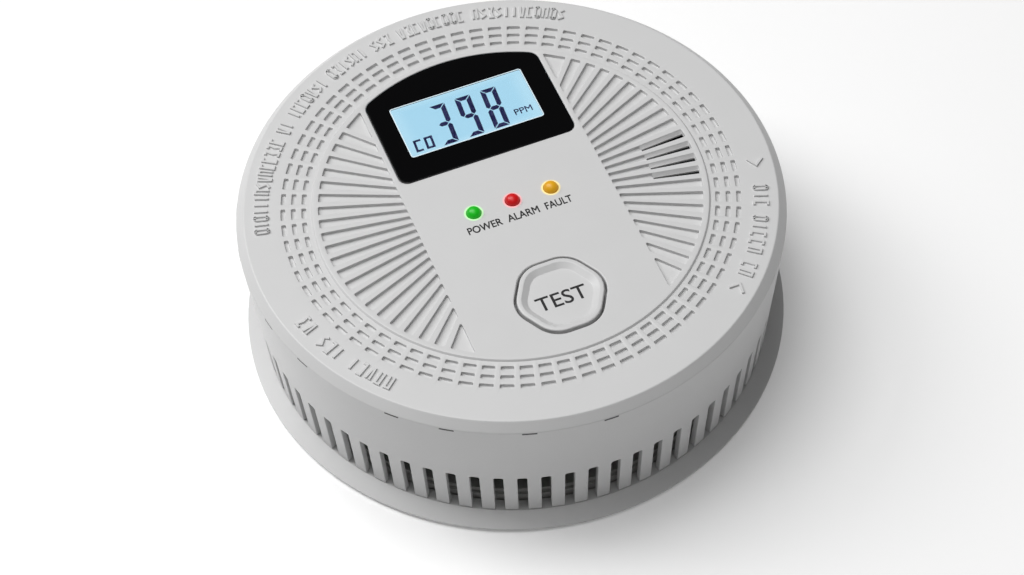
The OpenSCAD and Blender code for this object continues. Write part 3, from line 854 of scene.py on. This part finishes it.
def window_outline(half, low, top_r, foot_corner, head_corner):
    """Straight sides and foot, and a top edge that follows the circle of the face."""
    across = half - head_corner
    up = math.sqrt((top_r - head_corner) ** 2 - across ** 2)
    lean = math.degrees(math.atan2(up, across))
    return [*arc((-half + foot_corner, low + foot_corner), foot_corner, 180, 270, 8),
            *arc((half - foot_corner, low + foot_corner), foot_corner, 270, 360, 8),
            *arc((across, up), head_corner, 0, lean, 8),
            *arc((0, 0), top_r, lean + 2, 178 - lean, 24),
            *arc((-across, up), head_corner, 180 - lean, 180, 8)]


def pocket_corners(start, end):
    """Corners of a fan pocket, cut straight by the edge of the flat band."""
    rise = [BAND_HALF * math.tan(math.radians(a)) for a in (start, end)]
    return [Vector((BAND_HALF, rise[0])), polar(FAN_R, start), polar(FAN_R, end),
            Vector((BAND_HALF, rise[1]))]


def fan_pockets():
    """Outlines of all pockets, with the pitch row and side of each: +1 right, -1 left."""
    rows_up = 10
    found = []
    limit = math.degrees(math.acos(BAND_HALF / FAN_R))
    start = rows_up * PITCH + (PITCH - POCKET_DEG) / 2
    tip = [Vector((BAND_HALF, BAND_HALF * math.tan(math.radians(start)))),
           polar(FAN_R, start), polar(FAN_R, limit)]
    for side in (1, -1):
        for k in range(-rows_up, rows_up):
            middle = (k + 0.5) * PITCH
            corners = pocket_corners(middle - POCKET_DEG / 2, middle + POCKET_DEG / 2)
            found.append((rounded([c * side for c in corners], 0.22, 2), k, side))
        for flip in (1, -1):
            corners = [Vector((c.x * side, c.y * side * flip)) for c in tip][::flip]
            found.append((rounded(corners, 0.22, 2), None, side))
    return found


def sloped_pocket(outline, k):
    """A pocket's outline with its far side split, that side at the floor, and the slot there."""
    end = (k + 0.5) * PITCH + POCKET_DEG / 2
    back = polar(SENSOR_SLOPE, end - 90)
    split = [polar(SENSOR_R + 0.4, end), polar(SENSOR_R, end)]
    top = outline[:9] + split + outline[9:]
    floor = outline[:6] + [p + back for p in outline[6:9]] + [split[0] + back, *split[1:]]
    floor += outline[9:]
    start = (k + 0.5) * PITCH - POCKET_DEG / 2
    corners = [polar(SENSOR_R + 0.4, start), polar(FAN_R, start), polar(FAN_R, end) + back,
               polar(SENSOR_R + 0.4, end) + back]
    return top, floor, rounded(offset(corners, -0.06), 0.12, 2)


def disc_and_underside():
    made = Shape()
    ceiling = DISC_Z - SENSOR_WALL
    ring = STEPS_PER_PITCH * COUNT
    shift = VENT_PHASE % (PITCH / STEPS_PER_PITCH)
    wall_ring = [polar(FLAT_R, shift + 360 * k / ring) for k in range(ring)]
    made.sweep([raised(wall_ring, FACE_Z), raised(circle(FIELD_R, ring), FACE_Z)])
    step = rounded([(DISC_R, FACE_Z), (DISC_R - 0.3, DISC_Z), (DISC_R - 0.7, DISC_Z)],
                   0.2, closed=False)
    _, rim = made.sweep([raised(circle(r, ring), z) for r, z in step])
    mouths = []
    sensor_holes = []
    for outline, k, side in fan_pockets():
        foot = outline
        holes = []
        if side == 1 and k in SENSOR_ROWS:
            outline, foot, slot = sloped_pocket(outline, k)
            top, bottom = made.sweep([raised(slot, DISC_Z - POCKET_DEPTH), raised(slot, ceiling)])
            holes.append(top)
            sensor_holes.append(bottom)
        first, floor = made.sweep([*mouth(outline, DISC_Z, 0.1, 2),
                                   raised(foot, DISC_Z - POCKET_DEPTH)])
        mouths.append(first)
        made.fill(floor, holes)
    start, end = SENSOR_ROWS[0] * PITCH - 0.5, PITCH + 0.5
    hollow = arc((0, 0), FAN_R + 0.8, start, end, 16) + arc((0, 0), SENSOR_R - 1, end, start, 16)
    top, bottom = made.sweep([raised(hollow, ceiling), raised(hollow, ROOF_Z)])
    made.fill(top, sensor_holes, down=True)
    through = [bottom]
    half = window_high.x + 0.08
    low = window_low.y - 0.08
    top_r = window_high.y + 0.08
    recess = window_outline(half, low, top_r, *WINDOW_CORNERS)
    aperture = window_outline(half - 1.2, low + 1.2, top_r - 1.2, 1.5, 1.5)
    ledge = window_low.z
    openings = [[*mouth(recess, DISC_Z, 0.18, 2), raised(recess, ledge), raised(aperture, ledge),
                 raised(aperture, ROOF_Z)]]
    button_hole = hexagon(BUTTON_AF, BUTTON_CORNER, button_at)
    openings.append([*mouth(button_hole, DISC_Z, 0.25, 4), raised(button_hole, ROOF_Z)])
    for centre in lamp_at.values():
        lamp_hole = circle(LAMP_R + 0.15, 40, centre)
        openings.append([*mouth(lamp_hole, DISC_Z, 0.2, 3), raised(lamp_hole, ROOF_Z)])
    for loops in openings:
        first, last = made.sweep(loops)
        mouths.append(first)
        through.append(last)
    made.fill(rim, mouths)
    through += [screw_post(made, angle) for angle in (30, 150, 270)]
    under = [polar(INNER_TOP_R - ROOF_CHAMFER, shift + 360 * k / ring) for k in range(ring)]
    made.fill(made.loop(raised(under, ROOF_Z)), through, down=True)
    return made


def screw_post(made, angle):
    """A post under the face that takes a cover screw. Clockwise loops, so it faces out."""
    at = polar(43, angle)
    loops = [(3.5, ROOF_Z), (3.5, 8.1), (1.5, 8.1), (1.5, 20)]
    first, last = made.sweep([raised(circle(r, 32, at)[::-1], z) for r, z in loops])
    made.fill(last, down=True)
    return first


cover_mesh = joined("front_cover_moulding", [disc_and_underside().mesh("disc"), wall, slots])
piece("front_cover_moulding", cover_mesh, "alarm", white_abs,
      replaces=["front_cover"])

# %% [markdown]
# ## Raised marks
# The flat of the face carries rows of raised characters. This model leaves their wording out:
# rows of plain strokes of the same size and rhythm stand for them, picked in a fixed random
# order by a tree, with an arrowhead at each end of the row that tells which way to twist.

# %% Strokes
MARK_HEIGHT = 0.38
MARK_STROKE = 0.48
MARK_R = 48.9
MARK_HALF_W = 0.43
MARK_HALF_H = 1.33


def band(path, width):
    """The outline of a stroke that follows an open path."""
    path = [Vector(p) for p in path]
    sides = []
    for i, here in enumerate(path):
        before = (here - path[i - 1]).normalized() if i else None
        after = (path[i + 1] - here).normalized() if i + 1 < len(path) else None
        before, after = before or after, after or before
        side = Vector((before.y + after.y, -before.x - after.x)) / (1 + before.dot(after))
        sides.append(side * width / 2)
    right = [p + s for p, s in zip(path, sides)]
    left = [p - s for p, s in zip(path, sides)]
    return right + left[::-1]


def stroke(path, shape=None, place=None):
    """A raised stroke with a softened top edge."""
    shape = shape or Shape()
    outline = [place(p) for p in band(path, MARK_STROKE)] if place else band(path, MARK_STROKE)
    base = FACE_Z - 0.05 if place else -0.05
    top = base + 0.05 + MARK_HEIGHT
    bottom, crown = shape.sweep([raised(outline, base), raised(outline, top - 0.08),
                                 raised(offset(outline, -0.06), top)])
    shape.fill(bottom, down=True)
    shape.fill(crown)
    return shape


def oval(width, height):
    """A raised ring, taller than it is wide."""
    shape = Shape()
    outer = rounded([(-width / 2, -height / 2), (width / 2, -height / 2),
                     (width / 2, height / 2), (-width / 2, height / 2)], width / 2 - 0.02, 4)
    inner = offset(outer, -MARK_STROKE)
    loops = [raised(outer, -0.05), raised(outer, MARK_HEIGHT - 0.08),
             raised(offset(outer, -0.06), MARK_HEIGHT), raised(offset(inner, 0.06), MARK_HEIGHT),
             raised(inner, MARK_HEIGHT - 0.08), raised(inner, -0.05)]
    first, last = shape.sweep(loops)
    shape.strip(last, first)
    return shape


paths = [
    [(0, -1), (0, 1)],
    [(-1, -1), (-1, 1), (1, 1), (1, -1)],
    [(1, 1), (-1, 1), (-1, -1), (1, -1)],
    [(1, 1), (-1, 0.5), (1, -0.5), (-1, -1)],
    [(-1, 1), (-0.4, -1), (0.4, -1), (1, 1)],
    [(-1, 1), (1, 1), (0.2, 0), (1, -1), (-1, -1)],
]
strokes = [oval(1.4, 2 * MARK_HALF_H + 0.46)]
strokes += [stroke([(MARK_HALF_W * x, MARK_HALF_H * y) for x, y in path]) for path in paths]
stroke_set = bpy.data.collections.new("strokes")
scene.collection.children.link(stroke_set)
for number, shape in enumerate(strokes):
    thing = bpy.data.objects.new(f"stroke_{number}", shape.mesh("stroke"))
    stroke_set.objects.link(thing)
print(len(strokes), "kinds of stroke")


# %% Tree that sets the strokes
def strokes_on_points():
    tree, start = tree_with_inputs("strokes_on_points", {
        "Strokes": "NodeSocketCollection", "Last stroke": "NodeSocketInt",
        "Seed": "NodeSocketInt", "Material": "NodeSocketMaterial"})
    kinds = add(tree, "GeometryNodeCollectionInfo",
                {"Collection": start.outputs["Strokes"], "Separate Children": True,
                 "Reset Children": True})
    pick = add(tree, "FunctionNodeRandomValue",
               {4: 0, 5: start.outputs["Last stroke"], "Seed": start.outputs["Seed"]},
               data_type="INT")
    turn = add(tree, "GeometryNodeInputNamedAttribute", {"Name": "turn"}, data_type="FLOAT")
    turns = add(tree, "ShaderNodeCombineXYZ", {"Z": turn.outputs[0]})
    copies = add(tree, "GeometryNodeInstanceOnPoints",
                 {"Points": start.outputs["Geometry"], "Instance": kinds.outputs[0],
                  "Pick Instance": True, "Instance Index": pick.outputs[2],
                  "Rotation": turns.outputs[0]})
    close_tree(tree, copies.outputs[0], start.outputs["Material"])
    return tree


rows_of_marks = [(167, -1.9, (15, 2, 7, 6, 3, 9, 12)), (195, 2.4, (2, 3, 5)),
                 (315, 2.3, (2, 5, 3))]
angles = []
for first, step, words in rows_of_marks:
    angle = first
    for letters in words:
        angles += [angle + step * k for k in range(letters)]
        angle += step * (letters + 0.9)
seats = bpy.data.meshes.new("mark_seats")
seats.from_pydata([Vector((*polar(MARK_R, a), FACE_Z)) * MM for a in angles], [], [])
turns = seats.attributes.new("turn", "FLOAT", "POINT")
turns.data.foreach_set("value", [math.radians(a - 90) for a in angles])
marks = grown(seats, strokes_on_points(),
              {"Strokes": stroke_set, "Last stroke": len(strokes) - 1, "Seed": 11,
               "Material": white_abs})
arrows = Shape()
for angle, point in ((310.5, 1), (347.5, -1)):
    def on_ring(p, angle=angle):
        return polar(MARK_R, angle) + Matrix.Rotation(math.radians(angle - 90), 2) @ p
    stroke([(0.8 * point, 1.5), (-0.9 * point, 0), (0.8 * point, -1.5)][::point], arrows, on_ring)
mark_mesh = joined("raised_marks", [marks, arrows.mesh("arrows")])
for thing in list(stroke_set.objects):
    bpy.data.objects.remove(thing)
bpy.data.collections.remove(stroke_set)
piece("raised_marks", mark_mesh, "alarm", white_abs, sharp=40)

# %% [markdown]
# ## Catch slits
# Short slits under the chamfer are where the mould's slides formed the inner catches. They are not cut:
# thin blocks of black plastic set into the wall stand for them, and their black is painted shade for
# the shadowed slits.

# %% Catch slits
SLIT_HALF_DEG = 1.5
SLIT_LOW_Z = SHOULDER_Z - 0.57
SLIT_TOP_Z = SHOULDER_Z - 0.12
slit_angles = [-170.5, -158.5, -136, -124.5, -108, -91.5]
slits = Shape()
for angle in [sign * a for a in slit_angles for sign in (1, -1)]:
    slit_rows = []
    for out in (-0.4, 0.012):
        for z in (SLIT_LOW_Z, SLIT_TOP_Z):
            spots = [polar(outer_r(z) + out, angle + SLIT_HALF_DEG * t) for t in (-1, 0, 1)]
            slit_rows.append(raised(spots, z))
    inner_low, inner_high, outer_low, outer_high = (slits.loop(r) for r in slit_rows)
    order = [outer_low, outer_high, inner_high, inner_low]
    for a, b in zip(order, order[1:] + order[:1]):
        slits.strip(a, b, closed=False)
    slits.faces.append(tuple(loop[0] for loop in order[::-1]))
    slits.faces.append(tuple(loop[-1] for loop in order))
# The blocks' black plastic is painted shade, standing for the shadow inside each slit.
piece("catch_slits", slits.mesh("catch_slits"), "alarm", dark_abs_and_slit_shade)

# %% [markdown]
# ## Window
# The window is a clear acrylic pane with a black border on it. The border is a layer of its own
# with the display's opening cut in it, and the pane fills the recess below it.

# %% Window pieces
window_line = window_outline(window_high.x, window_low.y, window_high.y, *WINDOW_CORNERS)
lit_left, lit_right = LIT_CENTRE.x - LIT_HALF_W, LIT_CENTRE.x + LIT_HALF_W
lit_line = rounded([(lit_left, LIT_LOW), (lit_right, LIT_LOW), (lit_right, LIT_HIGH),
                    (lit_left, LIT_HIGH)], 0.35, 3)
border = Shape()
layer = DISC_Z - 0.15
outside = border.sweep([raised(window_line, layer), raised(window_line, DISC_Z - 0.1),
                        raised(offset(window_line, -0.04), DISC_Z - 0.03),
                        raised(offset(window_line, -0.12), DISC_Z)])
inside = border.sweep([raised(lit_line, DISC_Z), raised(lit_line, layer)])
border.fill(outside[1], [inside[0]])
border.fill(outside[0], [inside[1]], down=True)
piece("window_border", border.mesh("window_border"), "alarm", black_border,
      replaces=["display_window"])

pane = Shape()
pane.prism(window_line, window_low.z, layer - 0.02)
piece("window_pane", pane.mesh("window_pane"), "alarm", clear_acrylic)

# A pale band round the display's opening is a painted highlight: the bright edge of the lit area, laid
# on the border as a thin pale ring.
edge = Shape()
edge_line = offset(lit_line, 0.2)
outer_edge = edge.sweep([raised(edge_line, DISC_Z - 0.03), raised(edge_line, DISC_Z + 0.015)])
inner_edge = edge.sweep([raised(lit_line, DISC_Z + 0.015), raised(lit_line, DISC_Z - 0.03)])
edge.strip(outer_edge[1], inner_edge[0])
edge.strip(inner_edge[1], outer_edge[0])
painted_edge_highlight = ink_and_painted_highlight("painted_window_edge_highlight", "#D9EAF2", 0.3)
piece("window_line", edge.mesh("window_line"), "alarm", painted_edge_highlight)

# %% [markdown]
# ## What the display shows
# Each digit is built from up to seven segments with mitred ends, leaning a little to the right.
# The small gas symbol is two plain strokes, and the unit is a finer printed legend.

# %% Segments
LEAN = 0.07
DISPLAY_Z = span("lcd_glass")[1].z
SEGMENT_LOW_Z = DISPLAY_Z - 0.01
SEGMENT_TOP_Z = DISPLAY_Z + 0.03
DIGITS = {"3": "abcdg", "9": "abcdfg", "8": "abcdefg"}


def anticlockwise(points):
    area = sum(p.x * q.y - q.x * p.y for p, q in zip(points, points[1:] + points[:1]))
    return points if area > 0 else points[::-1]


def segments(w, h, t, gap):
    """Outlines of the seven segments of a w by h digit with strokes t thick."""
    mid = h / 2
    top = [(gap, h), (w - gap, h), (w - gap - t, h - t), (gap + t, h - t)]
    upper_left = [(0, h - gap), (t, h - gap - t), (t, mid + gap + t / 2), (t / 2, mid + gap),
                  (0, mid + gap + t / 2)]
    middle = [(gap + t / 2, mid), (gap + t, mid + t / 2), (w - gap - t, mid + t / 2),
              (w - gap - t / 2, mid), (w - gap - t, mid - t / 2), (gap + t, mid - t / 2)]
    right = [(w - x, y) for x, y in upper_left]
    return {"a": top, "f": upper_left, "b": right, "g": middle,
            "d": [(x, h - y) for x, y in top], "e": [(x, h - y) for x, y in upper_left],
            "c": [(x, h - y) for x, y in right]}


def character(shape, letter, x, y, w, h, t, gap):
    outlines = segments(w, h, t, gap)
    for name in DIGITS[letter]:
        line = anticlockwise([Vector((x + px + py * LEAN, y + py)) for px, py in outlines[name]])
        shape.prism(line, SEGMENT_LOW_Z, SEGMENT_TOP_Z)


readout = Shape()
digit_low = 18.2
digit_h = 10.5
for number, letter in enumerate("398"):
    character(readout, letter, -7.1 + 5.5 * number, digit_low, 3.3, digit_h, 1.0, 0.13)
for x, path in ((-12.4, [(1.3, 2.6), (0, 2.6), (0, 0), (1.3, 0)]),
                (-10.15, [(0.6, 0), (1.3, 0), (1.3, 2.6), (0, 2.6), (0, 0), (0.62, 0)])):
    path = [(x + px + py * LEAN, 18.85 + py) for px, py in path]
    readout.prism(band(path, 0.5), SEGMENT_LOW_Z, SEGMENT_TOP_Z)
piece("display_segments", readout.mesh("display_segments"), "alarm", display_ink)


# %% [markdown]
# ## Legends
# The function words beside the lamps and on the button are printed. Text is drawn as a curve
# with a hair of thickness, fitted to the size of the legend and made a mesh. The typeface is
# light, so each word is laid down four times, a hair apart, which thickens all its strokes.


# %% Printed legends
def legend(name, text, centre, width, height, z, body, material, bold):
    """A printed word of a given width and height, with strokes thickened by bold."""
    curve = bpy.data.curves.new(name, "FONT")
    curve.body = text
    curve.resolution_u = 4
    curve.extrude = 0.5
    holder = bpy.data.objects.new(name, curve)
    scene.collection.objects.link(holder)
    evaluated = holder.evaluated_get(bpy.context.evaluated_depsgraph_get())
    mesh = bpy.data.meshes.new_from_object(evaluated)
    bpy.data.objects.remove(holder)
    low = Vector(map(min, zip(*[v.co for v in mesh.vertices])))
    high = Vector(map(max, zip(*[v.co for v in mesh.vertices])))
    size = high - low
    fit = Matrix.Diagonal((width / size.x, height / size.y, 0.03 / size.z, 1))
    place = Matrix.Translation((centre[0], centre[1], z)) @ fit
    mesh.transform(Matrix.Scale(MM, 4) @ place @ Matrix.Translation(-(low + high) / 2))
    layers = []
    for number, (x, y) in enumerate(SQUARE):
        layer = mesh.copy()
        layer.transform(Matrix.Translation(Vector((x * bold, y * bold, number * 0.004)) * MM))
        layers.append(layer)
    piece(name, joined(name, layers, gap=0.0002), body, material, sharp=30)


legend("legend_unit", "PPM", (10.95, 20.65), 3.7, 1.5, DISPLAY_Z + 0.02, "alarm", display_ink,
       bold=0.015)
label_y = -4.95
for name, text, x, width in (("legend_power", "POWER", -7.3, 7.0),
                             ("legend_alarm", "ALARM", 0.7, 6.5),
                             ("legend_fault", "FAULT", 8.15, 5.5)):
    legend(name, text, (x, label_y), width, 1.7, DISC_Z + 0.005, "alarm", legend_ink,
           bold=0.035)

# %% [markdown]
# ## Test button
# The button is a dished hexagonal cap. A thin lip runs round its top, and a slope with soft
# ends leads down to the floor that carries the legend. Under the face it widens to a flange that
# keeps it from falling out, and a stem reaches down to the switch.

# %% Button cap
LIP_Z = DISC_Z + 0.3
DISH_Z = LIP_Z - 0.8
flange_low = ROOF_Z - 1.5
flange_high = ROOF_Z - 0.3
cap_line = hexagon(BUTTON_AF - 1.0, BUTTON_CORNER - 0.5, button_at)
flange_line = hexagon(BUTTON_AF + 1.6, BUTTON_CORNER + 0.8, button_at)
cap = Shape()
lip = rounded([(0, flange_high), (0, LIP_Z), (0.9, LIP_Z), (2.1, DISH_Z), (2.9, DISH_Z)],
              0.32, 4, closed=False)
loops = [raised(flange_line, flange_low), raised(flange_line, flange_high)]
loops += [raised(offset(cap_line, -inset), z) for inset, z in lip]
bottom, floor = cap.sweep(loops)
cap.fill(floor)
stem_rows = [(2.2, flange_low), (2.2, button_low.z)]
stem = cap.sweep([raised(circle(r, 32, button_at)[::-1], z) for r, z in stem_rows])
cap.fill(stem[1], down=True)
cap.fill(bottom, [stem[0]], down=True)
piece("test_button_cap", cap.mesh("test_button_cap"), "button", white_abs,
      replaces=["test_button"])
legend("legend_test", "TEST", (0, button_at.y - 0.5), 10.1, 3.25, DISH_Z + 0.005, "button",
       legend_ink, bold=0.03)


# %% [markdown]
# ## Lamps
# Each lamp is a 3 mm diode: a flange, a short cylinder and a dome that stands proud of the face,
# on two plated legs.


# %% Lamp domes and legs
def lamp(name, node, resin):
    high = lamps[node][1]
    shape = Shape()
    seat = span("led_spacers")[1].z
    middle = high.z - LAMP_R
    dome = [(LAMP_R * math.cos(math.radians(t)), middle + LAMP_R * math.sin(math.radians(t)))
            for t in range(0, 90, 9)]
    profile = [(LAMP_R + 0.3, seat), (LAMP_R + 0.4, seat + 0.1), (LAMP_R + 0.4, seat + 0.9),
               (LAMP_R + 0.3, seat + 1.0), (LAMP_R, seat + 1.0), *dome, (0.08, high.z)]
    lathe(shape, profile, 40, lamp_at[node])
    piece(name, shape.mesh(name), "alarm", resin, replaces=[node])


def lamp_rim(name, node, colour):
    """A thin ring of painted lamp glow round a lamp, on the face."""
    shape = Shape()
    low, high = DISC_Z - 0.03, DISC_Z + 0.01
    rows = [(2.12, low), (2.12, high), (1.56, high), (1.56, low)]
    first, last = shape.sweep([raised(circle(r, 48, lamp_at[node]), z) for r, z in rows])
    shape.strip(last, first)
    lit = painted_lamp_glow(f"{name}_painted_glow_on_plastic", colour, lamp_at[node])
    piece(f"{name}_rim_light", shape.mesh(name), "alarm", lit)


# Each lamp gets a pale ring of painted glow in its own colour on the face around it.
for name, node, resin, spill in (("green", "power_led", green_epoxy, "#BFF5B4"),
                                 ("red", "alarm_led", red_epoxy, "#F2A9AC"),
                                 ("amber", "fault_led", amber_epoxy, "#F6E49A")):
    lamp(f"{name}_lamp", node, resin)
    lamp_rim(name, node, spill)
legs = Shape()
for centre in lamp_at.values():
    for x in (-1.27, 1.27):
        foot = centre + Vector((x, 0))
        line = [foot + Vector(c) * 0.25 for c in SQUARE]
        legs.prism(line, span("main_board")[1].z, span("led_spacers")[1].z + 0.1)
piece("lamp_legs", legs.mesh("lamp_legs"), "alarm", contact_steel)

# %% [markdown]
# ## Studio
# A pale sheet carries the detector. A wide soft light hangs high behind it on the left, a second
# one stands lower on that side and draws the edges, and a weak one in front and a dim sky keep
# the shadows open. The camera looks down at 54 degrees from a little left of the button, through
# a long lens, rolled by under 3 degrees. Where it stands is told in cover radii.


# %% Floor and lights
def soft_light(name, azimuth, elevation, distance, size, power):
    """A square light that faces the detector from an azimuth and elevation in degrees."""
    data = bpy.data.lights.new(name, "AREA")
    data.shape = "SQUARE"
    data.size = size
    data.energy = power
    made = bpy.data.objects.new(name, data)
    a, e = math.radians(azimuth), math.radians(elevation)
    away = Vector((math.cos(a) * math.cos(e), math.sin(a) * math.cos(e), math.sin(e)))
    made.location = away * distance
    made.rotation_euler = away.to_track_quat("Z", "Y").to_euler()
    scene.collection.objects.link(made)


soft_light("left_key", 138, 42, 1.1, 0.45, 4.6)
soft_light("overhead", 135, 73, 1.5, 1.0, 15.2)
soft_light("front_fill", -95, 70, 1.5, 0.8, 2.8)

sky = bpy.data.worlds.new("dim_sky")
sky.use_nodes = True
sky.node_tree.nodes["Background"].inputs["Color"].default_value = (1, 1, 1, 1)
sky.node_tree.nodes["Background"].inputs["Strength"].default_value = 0.045
scene.world = sky

floor_material, floor_tree = new_material("white_studio_sheet")
floor_shader = add(floor_tree, "ShaderNodeBsdfPrincipled",
                   {"Base Color": (0.93, 0.93, 0.93, 1), "Roughness": 0.25,
                    "Emission Color": (1, 1, 1, 1), "Emission Strength": 0.12})
close_material(floor_tree, floor_shader)
sheet = Shape()
sheet.fill(sheet.loop(raised([Vector(c) * 4000 for c in SQUARE], -0.02)))
floor = bpy.data.objects.new("studio_floor", sheet.mesh("studio_floor"))
floor.data.materials.append(floor_material)
scene.collection.objects.link(floor)
scene.view_settings.view_transform = "Standard"

# %% Camera
STAND_BACK = 9.4944
STAND_RIGHT = -0.0104
STAND_UP = -0.3051
azimuth = math.radians(-19.5)
elevation = math.radians(53.57)
roll = math.radians(-2.77)
away = Vector((math.sin(azimuth) * math.cos(elevation), -math.cos(azimuth) * math.cos(elevation),
               math.sin(elevation)))
right = Vector((math.cos(azimuth), math.sin(azimuth), 0))
up = away.cross(right)
target = Vector((0, 0, SHOULDER_Z))
stand = target + COVER_R * (STAND_BACK * away + STAND_RIGHT * right + STAND_UP * up)
camera_data = bpy.data.cameras.new("camera")
camera_data.sensor_width = 36
camera_data.lens = 91.82
camera = bpy.data.objects.new("camera", camera_data)
turned_right = math.cos(roll) * right + math.sin(roll) * up
turned_up = math.cos(roll) * up - math.sin(roll) * right
axes = Matrix((turned_right, turned_up, away)).transposed()
camera.matrix_world = Matrix.Translation(stand * MM) @ axes.to_4x4()
scene.collection.objects.link(camera)
scene.camera = camera
print("camera stands", round((stand * MM).length, 3), "m from the wall face")
